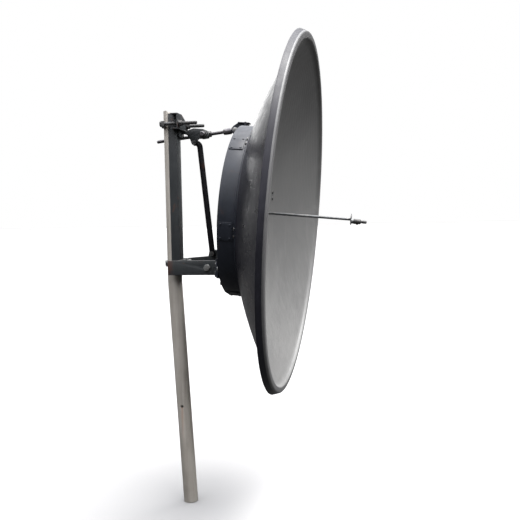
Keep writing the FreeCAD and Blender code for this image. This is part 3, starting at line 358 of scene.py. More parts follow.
MATERIALS = {
    "mast_steel": mast_steel(),
    "cap_plastic": satin_paint("cap_plastic", grey(0.03), grey(0.018), 0.6, 0.5),
    "mount_paint": satin_paint(
        "mount_paint", (0.017, 0.019, 0.020), (0.008, 0.009, 0.010), 0.44, 0.06, 0.7, 0.45, 0.25
    ),
    "clamp_casting": satin_paint(
        "clamp_casting", grey(0.030), grey(0.014), 0.6, 0.3, 0.8, 0.7, 0.4, 0.5
    ),
    "brace_paint": satin_paint(
        "brace_paint", (0.004, 0.0035, 0.0045), (0.002, 0.002, 0.0025), 0.45, 0.03, 0.5, 0.15, 0.1
    ),
    "dark_hardware": metal(
        "dark_hardware", (0.030, 0.031, 0.031), (0.011, 0.011, 0.011), 0.5, 0.35,
        0.5, (0.028, 0.018, 0.012),
    ),
    "zinc_hardware": metal(
        "zinc_hardware", (0.20, 0.20, 0.195), (0.09, 0.09, 0.087), 0.40, 0.75, 0.45, (0.07, 0.065, 0.06)
    ),
    "rod_steel": metal(
        "rod_steel", (0.10, 0.095, 0.10), (0.035, 0.034, 0.038), 0.38, 0.7, 0.4, (0.03, 0.02, 0.015)
    ),
    "reflector_paint": spun_paint(
        "reflector_paint", (0.009, 0.0086, 0.0116), (0.004, 0.004, 0.0056), 0.29, 0.5, 0.02, 0.28
    ),
    "drum_paint": satin_paint(
        "drum_paint", (0.012, 0.014, 0.019), (0.006, 0.007, 0.010), 0.48, 0.02, 0.7, 0.12, 0.16
    ),
    "bush_plastic": satin_paint("bush_plastic", grey(0.08), grey(0.05), 0.55, 0.2),
    "hub_metal": metal("hub_metal", grey(0.34), grey(0.20), 0.38, 0.85, 0.3),
    "boom_metal": metal("boom_metal", (0.060, 0.063, 0.066), (0.028, 0.030, 0.032), 0.5, 0.45, 0.3),
    "feed_black": satin_paint("feed_black", grey(0.014), grey(0.007), 0.5, 0.08, 0.3, 0.0, 0.3),
    "socket_nickel": metal("socket_nickel", (0.60, 0.57, 0.50), (0.45, 0.43, 0.38), 0.24, 1.0, 0.2),
    "insulator_white": satin_paint("insulator_white", grey(0.75), grey(0.6), 0.5, 0.1, 0.0),
    "contact_gold": metal("contact_gold", (0.80, 0.58, 0.22), (0.62, 0.43, 0.15), 0.25, 1.0, 0.15),
}
# the yoke arms' paint, with rust over the last 26 mm at their back
ARM_PAINT = satin_paint(
    "arm_paint", (0.017, 0.019, 0.020), (0.008, 0.009, 0.010), 0.44, 0.06, 0.7, 0.45, 0.25,
    creep=(0.020, -0.006),
)
# the bowl's own paints, from the rim's outer edge inwards
BOWL_RIM = spun_paint("bowl_rim", (0.012, 0.012, 0.016), (0.006, 0.006, 0.008), 0.42, 0.1, 0.0, 0.10)
BOWL_EDGE = spun_paint("bowl_edge", (0.056, 0.056, 0.057), (0.042, 0.042, 0.043), 0.46, 0.3, 0.0, 0.2)
BOWL_FACE = spun_paint("bowl_face", (0.080, 0.080, 0.079), (0.060, 0.060, 0.060), 0.45, 0.8, 0.0, 0.3)


# ------------------------------------------------------------------ mesh building
def piece(name, bm, place, node_or_body, slot=None, stands_for=(), smooth=38, materials=None):
    """Turns a bmesh in a working frame into a riding piece."""
    bmesh.ops.remove_doubles(bm, verts=bm.verts, dist=1e-6)
    bmesh.ops.dissolve_degenerate(bm, edges=bm.edges, dist=1e-7)
    bmesh.ops.recalc_face_normals(bm, faces=bm.faces)
    mesh = bpy.data.meshes.new(name)
    bm.to_mesh(mesh)
    bm.free()
    for polygon in mesh.polygons:
        polygon.use_smooth = True
    mesh.set_sharp_from_angle(angle=math.radians(smooth))
    item = bpy.data.objects.new(name, mesh)
    item.matrix_world = place
    scene.collection.objects.link(item)
    body = BODY_OF.get(node_or_body, node_or_body)
    slot = slot or SLOT_OF[node_or_body]
    for material in materials or [MATERIALS[slot]]:
        mesh.materials.append(material)
    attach(item, body)
    if stands_for:
        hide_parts(*stands_for)
    return item


def vertex_at(bm, place, r, a, z):
    """A vertex at radius `r`, angle `a` and height `z`, in millimetres, about the place's +Z."""
    return bm.verts.new(place @ Vector((r * MM * math.cos(a), r * MM * math.sin(a), z * MM)))


def grid(bm, rows, closed_rows=False):
    """Joins rows of vertices, each a closed ring, into quads."""
    count = len(rows)
    for i in range(count if closed_rows else count - 1):
        a, b = rows[i], rows[(i + 1) % count]
        width = len(a)
        for j in range(width):
            k = (j + 1) % width
            bm.faces.new((a[j], a[k], b[k], b[j]))


def lathe(bm, place, profile, steps=48, closed=False):
    """Spins (radius, height) points, in millimetres, about the place's +Z."""
    rows = [[vertex_at(bm, place, r, TAU * j / steps, z) for j in range(steps)] for r, z in profile]
    grid(bm, rows, closed)
    if not closed:
        bm.faces.new(rows[0])
        bm.faces.new(rows[-1])


def tube(bm, place, outer, inner, high):
    """A ring with eased corners, such as a washer."""
    e = 0.4
    profile = [
        (inner, e), (inner + e, 0), (outer - e, 0), (outer, e),
        (outer, high - e), (outer - e, high), (inner + e, high), (inner, high - e),
    ]
    lathe(bm, place, profile, closed=True)


def hexagon(bm, place, corner, high, bore=None, both=True):
    """A hexagon nut or head with its corners turned down, standing from 0 to `high`.

    The corners are turned down at the far end, and at the near end too where `both` is set.
    """
    steps = 60
    flat = corner * math.cos(math.pi / 6)
    crown = flat * 0.97
    lead = 0.8

    def reach(a):
        within = (a % (TAU / 6)) - TAU / 12
        return flat / math.cos(within)

    def ring(radius_of, height_of):
        turns = (TAU * j / steps for j in range(steps))
        return [vertex_at(bm, place, radius_of(a), a, height_of(a)) for a in turns]

    def drop(a):
        return max(0.0, reach(a) - crown) * 0.58

    rows = [
        ring(lambda a: crown, lambda a: 0.0),
        ring(reach, drop if both else lambda a: 0.05),
        ring(reach, lambda a: high - drop(a)),
        ring(lambda a: crown, lambda a: high),
    ]
    if bore:
        rows += [
            ring(lambda a: bore + lead, lambda a: high),
            ring(lambda a: bore, lambda a: high - lead),
            ring(lambda a: bore, lambda a: lead),
            ring(lambda a: bore + lead, lambda a: 0.0),
        ]
        grid(bm, rows, closed_rows=True)
    else:
        grid(bm, rows)
        bm.faces.new(rows[0])
        bm.faces.new(rows[-1])


def thread(bm, place, radius, start, stop, pitch, steps=22):
    """A screw thread between two heights, its turns following the helix; the ends are flat."""
    depth = 0.54 * pitch
    offsets = ((0.0, depth), (0.40, 0.0), (0.56, 0.0), (0.96, depth))
    turns = int((stop - start) / pitch) + 3
    rows = []
    for turn in range(-1, turns):
        for offset, cut in offsets:
            row = []
            for j in range(steps):
                z = start + (turn + offset + j / steps) * pitch
                r = radius - cut
                if z <= start or z >= stop:
                    z = min(max(z, start), stop)
                    r = radius - depth
                # the first and last turns run out towards the ends
                r = min(r, radius - depth + min(z - start, stop - z) * 1.2)
                row.append(vertex_at(bm, place, r, TAU * j / steps, z))
            rows.append(row)
    per_turn = len(offsets)
    for i in range(len(rows) - 1):
        for j in range(steps):
            k = (j + 1) % steps
            lift = per_turn if k == 0 else 0
            if i + 1 + lift >= len(rows):
                continue
            corners = [rows[i][j], rows[i + lift][k], rows[i + 1 + lift][k], rows[i + 1][j]]
            bm.faces.new(corners)


# corner radius, head height, thread radius, pitch and nut height of each hexagon size
M8 = (7.5, 5.3, 4.0, 1.25, 6.5)
M10 = (9.2, 6.4, 5.0, 1.5, 8.4)
M12 = (10.4, 7.5, 6.0, 1.75, 10.0)


def bolt(bm, place, size, long, thread_from):
    """A hexagon bolt: head below 0, plain shank, then thread to `long`."""
    corner, head, radius, pitch, _ = size
    hexagon(bm, place @ at(0, 0, -head), corner, head, both=False)
    grip = radius * 0.985
    lathe(bm, place, [(grip, -0.2), (grip, thread_from + 0.3)], 40)
    thread(bm, place, radius, thread_from, long - 1.0, pitch)
    tip = radius - 0.54 * pitch
    lathe(bm, place, [(tip, long - 1.4), (tip, long - 0.6), (tip - 0.6, long)], 40)


def nut(bm, place, size, bore):
    corner, _, _, _, high = size
    hexagon(bm, place, corner, high, bore)


def softened(node, width=0.7, steps=2, angle=28, extra=None, materials=None):
    """A CAD node's shape with its sharp edges eased; the eased faces are marked as wear."""
    place = FRAME_OF_BODY[BODY_OF[node]]
    bm = bmesh.new()
    bm.from_mesh(NODES[node].data)
    bmesh.ops.transform(bm, matrix=place.inverted(), verts=bm.verts)
    bmesh.ops.remove_doubles(bm, verts=bm.verts, dist=2e-6)
    bmesh.ops.dissolve_limit(
        bm, angle_limit=math.radians(0.8), verts=bm.verts, edges=bm.edges, delimit={"NORMAL"}
    )
    limit = math.radians(angle)
    sharp = [e for e in bm.edges if len(e.link_faces) == 2 and e.calc_face_angle(0) > limit]
    done = bmesh.ops.bevel(
        bm,
        geom=sharp,
        offset=width * MM,
        offset_type="OFFSET",
        segments=steps,
        profile=0.6,
        affect="EDGES",
        clamp_overlap=True,
    )
    worn = set(done["faces"])
    layer = bm.faces.layers.float.new("wear")
    for face in bm.faces:
        face[layer] = 1.0 if face in worn else 0.0
    if extra:
        extra(bm)
    return piece(node + "_shape", bm, place, node, stands_for=(node,), materials=materials)


# every carried-over node has its slot's material, hidden or not
for node, item in NODES.items():
    item.data.materials.clear()
    item.data.materials.append(MATERIALS[SLOT_OF[node]])


# ------------------------------------------------------------------ sizes shared with part.py
FOCAL = 436.6
DEPTH = 200.0
SKIN = 2.5
RING_R = 290.0
RING_BACK = -212.6
PLATE_BACK = RING_BACK - 4.1
FOOT_BACK = RING_BACK - 5.1
PIVOT = DISH.inverted() @ HEAD @ Vector((0.136, 0, 0)) / MM
CLEVIS = DISH.inverted() @ HEAD @ Vector((0.220, 0.052, 0.4737)) / MM
SWIVEL_X = (ROD.inverted() @ HEAD @ Vector((0.108, 0.052, 0.462))).x / MM


def bowl_front(r):
    return -DEPTH + r * r / (4 * FOCAL)


def bowl_back(r):
    return bowl_front(r) - SKIN


def polar(x, r, degrees):
    a = math.radians(degrees)
    return (x, r * math.cos(a), r * math.sin(a))


def slope_turn(r, degrees):
    """Lays +Z on the bowl's normal at one point."""
    lean = math.atan(r / (2 * FOCAL))
    return (
        Matrix.Rotation(math.radians(degrees), 4, "X")
        @ Matrix.Rotation(-lean, 4, "Z")
        @ ALONG_X
    )


def swept(bm, place, points, radius, steps=12, ripple=0.0, pitch=3.0):
    """A round bar or weld bead along a path; `ripple` swells it at every `pitch`."""
    path = [Vector(p) * MM for p in points]
    fine = [path[0]]
    for a, b in zip(path[:-1], path[1:]):
        cuts = max(1, int((b - a).length / (pitch * MM / 4))) if ripple else 1
        fine += [a.lerp(b, (k + 1) / cuts) for k in range(cuts)]
    side = None
    rows = []
    run = 0.0
    for i, p in enumerate(fine):
        ahead = (fine[min(i + 1, len(fine) - 1)] - fine[max(i - 1, 0)]).normalized()
        if side is None:
            side = ahead.orthogonal().normalized()
        side = (side - ahead * side.dot(ahead)).normalized()
        up = ahead.cross(side)
        if i:
            run += (p - fine[i - 1]).length / MM
        swell = 1 + ripple * math.sin(TAU * run / pitch) + ripple * 0.6 * math.sin(run * 0.83)
        if ripple and i in (0, len(fine) - 1):
            swell *= 0.45
        r = radius * MM * swell
        rows.append(
            [
                bm.verts.new(place @ (p + side * r * math.cos(a) + up * r * math.sin(a)))
                for a in (TAU * j / steps for j in range(steps))
            ]
        )
    grid(bm, rows)
    bm.faces.new(rows[0])
    bm.faces.new(rows[-1])


def stack(name, frame_place, node, build, smooth=38):
    """One piece that stands for a whole hardware node."""
    bm = bmesh.new()
    build(bm)
    return piece(name, bm, frame_place, node, stands_for=(node,), smooth=smooth)


# ------------------------------------------------------------------ mast and mount
softened("mast_tube", 0.6, angle=35)
softened("mast_cap", 0.8)
for node, width in (
    ("upright_angle", 0.8),
    ("top_channel", 0.9),
    ("top_packer", 0.5),
    ("top_saddle", 1.2),
    ("lower_saddle", 1.2),
    ("top_arm", 1.0),
    ("yoke_web", 0.8),
    ("brace_tube", 0.5),
    ("rod_eye", 0.6),
    ("back_ring", 0.7),
    ("ring_flange", 0.6),
    ("joint_straps", 0.5),
    ("mount_plate", 0.7),
    ("pivot_beam", 0.9),
    ("pivot_ear_near", 1.0),
    ("pivot_ear_far", 1.0),
    ("pivot_bushes", 0.4),
    ("clevis_bracket", 0.8),
    ("hub_front", 0.9),
    ("hub_back", 0.7),
    ("feed_collar", 0.8),
    ("feed_sleeve", 0.6),
    ("feed_boom", 0.5),
    ("feed_disc", 0.5),
    ("feed_head", 1.2),
    ("feed_stub", 0.5),
    ("feed_tip", 0.8),
):
    softened(node, width)
softened("yoke_arm_near", 1.1, materials=[ARM_PAINT])
softened("yoke_arm_far", 1.1, materials=[ARM_PAINT])


TOP_LEVEL, LOW_LEVEL = 494, 14
CLAMP_SIDES = (-46, 46)
# each clamp's level, and where its washers stand
CLAMP_FACES = ((TOP_LEVEL, 43.0), (LOW_LEVEL, 35.2))


def top_bolts(bm):
    for y in CLAMP_SIDES:
        bolt(bm, at(-16, y, TOP_LEVEL, ALONG_X), M12, 123.0, 46.0)


def lower_bolts(bm):
    for y in CLAMP_SIDES:
        bolt(bm, at(-8, y, LOW_LEVEL, ALONG_X), M12, 60.0, 30.0)


def clamp_rings(bm):
    for level, face in CLAMP_FACES:
        for y in CLAMP_SIDES:
            tube(bm, at(face, y, level, ALONG_X), 12.0, 6.3, 2.5)


def clamp_hexes(bm):
    for level, face in CLAMP_FACES:
        for k, y in enumerate(CLAMP_SIDES):
            spun = ALONG_X @ Matrix.Rotation(0.35 + 0.6 * k, 4, "Z")
            nut(bm, at(face + 2.5, y, level, spun), M12, 6.05)


def brace_screws(bm):
    bolt(bm, at(73, 31, 434.5, ALONG_Y), M10, 40.0, 27.0)
    bolt(bm, at(126, 36.9, 42, ALONG_Y), M10, 44.0, 30.0)


def brace_hexes(bm):
    nut(bm, at(73, 57.2, 434.5, ALONG_Y), M10, 5.05)
    nut(bm, at(126, 66, 42, ALONG_Y), M10, 5.05)
    tube(bm, at(126, 57.2, 42, ALONG_Y), 9.0, 5.4, 2.8)


PIVOT_SIDES = ((-1, ALONG_Y), (1, AGAINST_Y))


def pivot_screws(bm):
    for side, inward in PIVOT_SIDES:
        bolt(bm, at(136, side * 68.5, 0, inward), M12, 33.5, 20.0)


def pivot_rings(bm):
    for side, inward in PIVOT_SIDES:
        for start in (68.5, 51.9):
            tube(bm, at(136, side * start, 0, inward), 12.0, 6.3, 2.5)


def pivot_hexes(bm):
    for side, inward in PIVOT_SIDES:
        nut(bm, at(136, side * 49.4, 0, inward), M12, 6.05)


stack("top_bolts_threaded", HEAD, "top_clamp_bolts", top_bolts)
stack("lower_bolts_threaded", HEAD, "lower_clamp_bolts", lower_bolts)
stack("clamp_rings", HEAD, "clamp_washers", clamp_rings)
stack("clamp_hexes", HEAD, "clamp_nuts", clamp_hexes)
stack("brace_screws", HEAD, "brace_bolts", brace_screws)
stack("brace_hexes", HEAD, "brace_nuts", brace_hexes)
stack("pivot_screws", HEAD, "pivot_bolts", pivot_screws)
stack("pivot_rings", HEAD, "pivot_washers", pivot_rings)
stack("pivot_hexes", HEAD, "pivot_nuts", pivot_hexes)


def weld_set(name, frame_place, body, slot, runs, radius=2.2):
    """Fillet welds that sit in the corners between two plates."""
    bm = bmesh.new()
    for start, stop in runs:
        swept(bm, UPRIGHT, [start, stop], radius, 12, 0.13, 3.4)
    return piece(name, bm, frame_place, body, slot=slot, smooth=60)


weld_set(
    "mount_welds",
    HEAD,
    "mount",
    "mount_paint",
    [
        ((29.4, -59.8, -23), (29.4, -59.8, 23)),
        ((29.4, 59.8, -23), (29.4, 59.8, 23)),
        ((35.2, -59.8, -23), (35.2, -59.8, 23)),
        ((35.2, 59.8, -23), (35.2, 59.8, 23)),
        ((35.4, 31.0, 466.8), (35.4, 31.0, 473.2)),
        ((27.6, -28.4, -24), (29.3, -29.2, 24)),
    ],
)


# ------------------------------------------------------------------ swivel and rod
def rod_thread(bm):
    lathe(bm, at(-291, 0, 0, ALONG_X), [(4.2, 0.0), (5.05, 0.8), (5.05, 2.0)], 32)
    thread(bm, at(-291, 0, 0, ALONG_X), 6.0, 1.2, 271.0, 1.75)


def block_spigot(bm):
    place = at(SWIVEL_X, -12, 0, AGAINST_Y)
    lathe(bm, place, [(7.95, -0.4), (7.95, 12.5)], 40)
    thread(bm, place, 8.0, 12.0, 30.4, 1.5)
    lathe(bm, place, [(7.1, 29.6), (7.1, 30.4), (6.5, 31.0)], 40)


def swivel_rings(bm):
    tube(bm, at(SWIVEL_X, -14.9, 0, ALONG_Y), 13.0, 8.05, 2.9)
    tube(bm, at(SWIVEL_X, -23.1, 0, ALONG_Y), 13.0, 8.05, 2.0)


def swivel_hex(bm):
    hexagon(bm, at(SWIVEL_X, -30.1, 0, ALONG_Y), 13.0, 7.0, 8.05)


def adjust_rings(bm):
    for side, turn in ((1, ALONG_X), (-1, AGAINST_X)):
        tube(bm, at(SWIVEL_X + side * 11, 0, 0, turn), 12.0, 6.3, 2.5)


def adjust_hexes(bm):
    for side, turn in ((1, ALONG_X), (-1, AGAINST_X)):
        spun = turn @ Matrix.Rotation(0.2 * side, 4, "Z")
        nut(bm, at(SWIVEL_X + side * 13.5, 0, 0, spun), M12, 6.05)


def lock_hex(bm):
    hexagon(bm, at(-44.2, 0, 0, ALONG_X), 10.4, 6.0, 6.05)


def shorten_spigot(bm):
    """Takes the plain spigot off the block; a threaded one is laid in its place."""
    gone = [f for f in bm.faces if all(v.co.y < -0.01201 for v in f.verts)]
    gone += [
        f
        for f in bm.faces
        if any(v.co.y < -0.0125 for v in f.verts) and f not in gone
    ]
    bmesh.ops.delete(bm, geom=gone, context="FACES")


softened("swivel_block", 1.0, extra=shorten_spigot)
bm = bmesh.new()
block_spigot(bm)
piece("swivel_spigot", bm, ROD, "swivel_block")
stack("rod_threaded", ROD, "elevation_rod", rod_thread)
stack("swivel_rings", ROD, "swivel_washers", swivel_rings)
stack("swivel_hex", ROD, "swivel_nut", swivel_hex)
stack("adjust_rings", ROD, "adjust_washers", adjust_rings)
stack("adjust_hexes", ROD, "adjust_nuts", adjust_hexes)
stack("lock_hex", ROD, "rod_locknut", lock_hex)


# ------------------------------------------------------------------ reflector
def spun_bowl():
    """The spun shell: bowl face, rolled rim and back, in four paints."""
    bm = bmesh.new()
    steps = 288
    lip = 572.0
    rim = 600.0

    def radii(low, high, count):
        return [low + (high - low) * k / count for k in range(count + 1)]

    face = [(r, bowl_front(r)) for r in radii(16.0, lip, 64)]
    roll = [
        (lip + 2.8, (bowl_front(lip) - 1.5) / 2 - 0.6),
        (lip + 5.5, -1.5),
        (lip + 7.0, -0.5),
        (lip + 8.5, -0.05),
        (lip + 10.5, 0.0),
        (rim - 9.5, 0.0),
        (rim - 7.5, -0.05),
        (rim - 5.4, -0.35),
        (rim - 3.8, -1.0),
        (rim - 2.3, -2.05),
        (rim - 1.2, -3.4),
        (rim - 0.35, -5.2),
        (rim, -7.0),
        (rim + 3.1, -15.5),
        (rim + 6.0, -23.4),
        (rim + 6.0, -24.0),
        (rim + 5.3, -24.5),
        (rim + 4.2, -24.6),
        (rim + 3.7, -24.2),
        (rim + 0.6, -15.8),
        (rim - 2.4, -7.9),
        (rim - 3.3, -5.1),
        (rim - 5.3, -3.3),
        (rim - 8.2, -2.5),
        (lip + 8.9, -2.5),
        (lip + 6.1, -4.1),
    ]
    rear = [(r, bowl_back(r)) for r in reversed(radii(16.0, lip + 0.6, 60))]
    profile = face + roll + rear

    def sag(r, a):
        """Slow waves in the free part of the shell, none at the ring or the rim."""
        free = max(0.0, min(1.0, (r - 330.0) / 90.0)) * max(0.0, min(1.0, (566.0 - r) / 60.0))
        wave = math.sin(3 * a + 0.7) + 0.7 * math.sin(5 * a + r / 70.0) + 0.5 * math.sin(9 * a - 1.9)
        return 0.55 * free * wave

    rows = []
    for i, (r, x) in enumerate(profile):
        row = []
        for j in range(steps):
            a = TAU * j / steps
            dx = sag(r, a)
            row.append(
                bm.verts.new(
                    ((x + dx) * MM, r * MM * math.cos(a), r * MM * math.sin(a))
                )
            )
        rows.append(row)
    # the rows where each further paint begins: the rim's flat, its outer edge, the back
    edge_from = len(face) + 3
    rim_from = len(face) + 12
    back_from = rim_from + 6
    for i in range(len(rows)):
        n = (i + 1) % len(rows)
        for j in range(steps):
            k = (j + 1) % steps
            quad = bm.faces.new((rows[i][j], rows[i][k], rows[n][k], rows[n][j]))
            quad.material_index = (i >= edge_from) + (i >= rim_from) + (i >= back_from)
    return piece(
        "spun_bowl",
        bm,
        DISH,
        "reflector",
        stands_for=("reflector",),
        smooth=40,
        materials=[BOWL_FACE, BOWL_EDGE, BOWL_RIM, MATERIALS["reflector_paint"]],
    )


spun_bowl()
STRAP_ANGLES = [12.3 + 60 * k for k in range(6)]


def domed(bm, place, radius, high):
    """A low round rivet or screw head standing on its seat."""
    lathe(
        bm,
        place,
        [
            (radius, -0.1),
            (radius, 0.22 * high),
            (radius * 0.93, 0.5 * high),
            (radius * 0.74, 0.78 * high),
            (radius * 0.45, 0.95 * high),
            (radius * 0.12, high),
        ],
        28,
    )


def flange_pairs(bm):
    for centre in STRAP_ANGLES:
        for step in (-2.2, 2.2):
            a = centre + step
            place = at(*polar(bowl_back(299.0), 299.0, a), slope_turn(299.0, a))
            domed(bm, place @ at(0, 0, 2.55), 5.6, 2.9)
            lathe(bm, place @ at(0, 0, -6.6), [(2.4, 0), (2.9, 0.5), (2.9, 9.4)], 24)
            hexagon(bm, place @ at(0, 0, -6.4), 5.6, 3.2, 3.0)


def rivet_heads(bm):
    for centre in STRAP_ANGLES:
        for dx, da in ((8, -4.3), (8, 4.3), (37, -4.3), (37, 4.3)):
            a = centre + da
            outward = Matrix.Rotation(math.radians(a), 4, "X") @ ALONG_Y
            domed(bm, at(*polar(RING_BACK + 4 + dx, RING_R + 2.6, a), outward), 3.6, 2.0)


def ring_screws(bm):
    for a in (-138.0, -122.0, -106.0, -90.0, -74.0, -58.0, -42.0):
        seat = polar(PLATE_BACK, 279.0, a)
        bolt(bm, at(*seat, ALONG_X), M8, 18.0, 7.5)
        nut(bm, at(RING_BACK + 3.05, *seat[1:], ALONG_X), M8, 4.0)
    for y in (30.0, 74.0):
        seat = polar(FOOT_BACK, 279.0, math.degrees(math.acos(y / 279.0)))
        bolt(bm, at(*seat, ALONG_X), M8, 18.0, 8.5)
        nut(bm, at(RING_BACK + 3.05, *seat[1:], ALONG_X), M8, 4.0)


def ear_screws(bm):
    for y in (-80.0, 80.0):
        for rise in (-14.0, 14.0):
            place = at(-254.0, y, PIVOT.z + rise, ALONG_X)
            bolt(bm, place, M10, 22.0, 12.0)
            nut(bm, at(-244.0, y, PIVOT.z + rise, ALONG_X), M10, 5.0)


def clevis_shaft(bm):
    place = at(CLEVIS.x, 39.4, CLEVIS.z, ALONG_Y)
    lathe(
        bm,
        place,
        [
            (8.2, -4.0), (8.8, -3.7), (9.0, -3.2), (9.0, -0.4), (8.6, 0.0),
            (6.0, 0.1), (6.0, 33.2), (5.2, 34.1),
        ],
        40,
    )


def split_pin(bm):
    x, y, z = CLEVIS.x, 69.0, CLEVIS.z
    # offsets along Y and Z: two legs, splayed below, and the bow that joins them on top
    left = ((-4.5, -9.6), (-1.6, -8.6), (-0.55, 6.5), (-1.3, 7.8), (-1.2, 9.2))
    right = ((3.6, -8.2), (1.4, -7.2), (0.55, 6.5), (1.3, 7.8), (1.2, 9.2))
    bow = ((-1.2, 9.0), (-0.6, 9.9), (0.6, 9.9), (1.2, 9.0))
    for run in (left, right, bow):
        swept(bm, UPRIGHT, [(x, y + dy, z + dz) for dy, dz in run], 0.75, 8)


stack("flange_pairs", DISH, "flange_screws", flange_pairs)
stack("rivet_heads", DISH, "strap_rivets", rivet_heads)
stack("ring_screws", DISH, "ring_bolts", ring_screws)
stack("ear_screws", DISH, "ear_bolts", ear_screws)
stack("clevis_shaft", DISH, "clevis_pin", clevis_shaft)
stack("split_pin", DISH, "clevis_cotter", split_pin)

BEAM_LOW, BEAM_HIGH = PIVOT.z - 28, PIVOT.z + 28
weld_set(
    "ring_welds",
    DISH,
    "dish",
    "drum_paint",
    [
        ((PLATE_BACK, -100, BEAM_HIGH), (PLATE_BACK, 100, BEAM_HIGH)),
        ((PLATE_BACK, -100, BEAM_LOW), (PLATE_BACK, 100, BEAM_LOW)),
        ((FOOT_BACK, 39.5, 260), (FOOT_BACK, 39.5, 300)),
        ((FOOT_BACK, 64.5, 260), (FOOT_BACK, 64.5, 300)),
        ((-254.2, -58.2, PIVOT.z - 22), (-254.2, -58.2, PIVOT.z + 22)),
        ((-254.2, 58.2, PIVOT.z - 22), (-254.2, 58.2, PIVOT.z + 22)),
    ],
)


# ------------------------------------------------------------------ hub, feed and socket
HUB_FACE = bowl_front(45.0) + 0.15
HUB_REAR = bowl_back(0) - 0.1
SLEEVE_BACK = HUB_REAR - 34


def hub_fixings(bm):
    for a in (45.0, 135.0, 225.0, 315.0):
        x, y, z = polar(HUB_REAR - 10, 30.0, a)
        lathe(bm, at(x, y, z, ALONG_X), [(2.4, 0), (3.0, 0.6), (3.0, 19.0)], 24)
        hexagon(bm, at(HUB_FACE + 5, y, z, ALONG_X), 5.6, 4.0, both=False)
        hexagon(bm, at(HUB_REAR - 8.8, y, z, ALONG_X), 5.6, 4.8, 3.0)
    screw_x = HUB_FACE + 35
    lathe(bm, at(screw_x, 0, 11.1), [(3.0, 0), (3.0, 11.5)], 24)
    hexagon(bm, at(screw_x, 0, 22.0), 5.6, 4.0, both=False)


def socket_shape(bm):
    hexagon(bm, at(SLEEVE_BACK - 7, 0, 0, ALONG_X), 12.5, 7.0)
    place = at(SLEEVE_BACK - 21, 0, 0, ALONG_X)
    thread(bm, place, 7.9, 0.9, 13.8, 1.0, 26)
    lathe(
        bm,
        place,
        [(7.3, 14.0), (7.3, 0.5), (6.9, 0.0), (4.7, 0.0), (4.3, 0.4), (4.3, 12.0), (0.3, 12.0)],
        36,
    )


stack("hub_fixings", DISH, "hub_screws", hub_fixings)
stack("socket_shape", DISH, "feed_socket", socket_shape)
softened("socket_insulator", 0.2)
softened("socket_contact", 0.2)


# ------------------------------------------------------------------ floor and light
def make_floor():
    mesh = bpy.data.meshes.new("floor")
    s = FLOOR_HALF
    mesh.from_pydata([(-s, -s, 0), (s, -s, 0), (s, s, 0), (-s, s, 0)], [], [(0, 1, 2, 3)])
    surface = Surface("floor", 0.95, specular=0.0)
    tone = surface.ramp(surface.noise(0.6), [(0.3, FLOOR_TONE), (0.7, FLOOR_TONE * 1.02)])
    # the paper is white to look at, but throws little light back up at the dish
    seen = surface.new("LightPath").outputs["Is Camera Ray"]
    mesh.materials.append(surface.finish(surface.mix(seen, grey(FLOOR_BOUNCE), tone)))
    floor = bpy.data.objects.new("floor", mesh)
    floor.location.z = -0.0015
    scene.collection.objects.link(floor)


def sun(name, azimuth, elevation, strength, spread, colour):
    """A broad overhead light, like a bright sky; azimuth from +X towards +Y."""
    data = bpy.data.lights.new(name, "SUN")
    data.energy = strength
    data.angle = math.radians(spread)
    data.color = colour
    item = bpy.data.objects.new(name, data)
    a, e = math.radians(azimuth), math.radians(elevation)
    from_where = Vector((math.cos(e) * math.cos(a), math.cos(e) * math.sin(a), math.sin(e)))
    item.matrix_world = (-from_where).to_track_quat("-Z", "Y").to_matrix().to_4x4()
    item.location = from_where * 5
    scene.collection.objects.link(item)


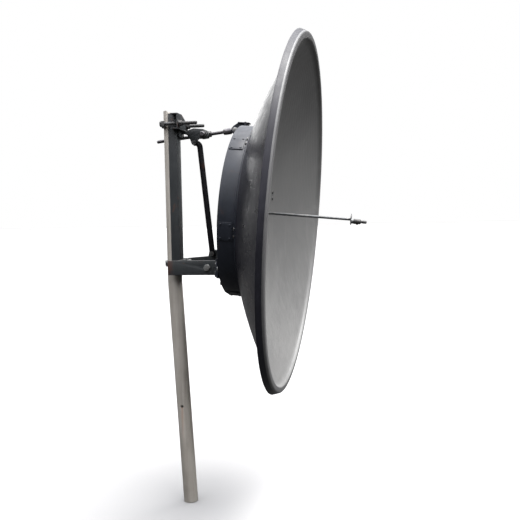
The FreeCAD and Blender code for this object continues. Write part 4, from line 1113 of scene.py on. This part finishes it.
KEY = 13.0
FRONT = 15.0
FILL = 1.5
FLOOR_HALF = 60.0
FLOOR_TONE = 0.150
FLOOR_BOUNCE = 0.020
ROOM = 0.11
CEILING = 0.45
make_floor()
sun("key", 285, 82, KEY, 120, (0.95, 0.96, 1.0))
sun("front", 5, 70, FRONT, 40, (1.0, 0.985, 0.965))
sun("fill", 338, 14, FILL, 45, (1.0, 0.985, 0.955))
world = bpy.data.worlds.new("studio")
world.use_nodes = True
tree = world.node_tree
background = next(n for n in tree.nodes if n.type == "BACKGROUND")
# a dim room with a brighter ceiling and two white panels behind the dish; the camera itself
# sees plain white paper
direction = tree.nodes.new("ShaderNodeTexCoord").outputs["Generated"]


def world_node(kind, **inputs):
    node = tree.nodes.new("ShaderNode" + kind)
    for key, value in inputs.items():
        socket = node.inputs[key.replace("_", " ")]
        if isinstance(value, bpy.types.NodeSocket):
            tree.links.new(value, socket)
        else:
            socket.default_value = value
    return node


def world_math(operation, a, b):
    node = tree.nodes.new("ShaderNodeMath")
    node.operation = operation
    for socket, value in zip(node.inputs, (a, b)):
        if isinstance(value, bpy.types.NodeSocket):
            tree.links.new(value, socket)
        else:
            socket.default_value = value
    return node.outputs[0]


def panel(azimuth, elevation, inner, outer, strength):
    """A round white panel in one direction, full inside `inner` degrees, gone at `outer`."""
    a, e = math.radians(azimuth), math.radians(elevation)
    dot = tree.nodes.new("ShaderNodeVectorMath")
    dot.operation = "DOT_PRODUCT"
    tree.links.new(direction, dot.inputs[0])
    dot.inputs[1].default_value = (
        math.cos(e) * math.cos(a), math.cos(e) * math.sin(a), math.sin(e),
    )
    ramp = world_node(
        "MapRange",
        Value=dot.outputs["Value"],
        From_Min=math.cos(math.radians(outer)),
        From_Max=math.cos(math.radians(inner)),
        To_Max=strength,
    )
    return ramp.outputs["Result"]


height = world_node("SeparateXYZ", Vector=direction).outputs["Z"]
room = world_node("MapRange", Value=height, To_Min=ROOM, To_Max=CEILING).outputs["Result"]
light = world_math("ADD", room, panel(103, 8, 13, 24, 3.0))
light = world_math("ADD", light, panel(126, 5, 2, 8, 6.6))
sweep = tree.nodes.new("ShaderNodeMix")
tree.links.new(tree.nodes.new("ShaderNodeLightPath").outputs["Is Camera Ray"], sweep.inputs[0])
tree.links.new(light, sweep.inputs[2])
sweep.inputs[3].default_value = 1.0
tree.links.new(sweep.outputs[0], background.inputs["Strength"])
background.inputs["Color"].default_value = (1, 1, 1, 1)
scene.world = world
scene.view_settings.view_transform = "Standard"
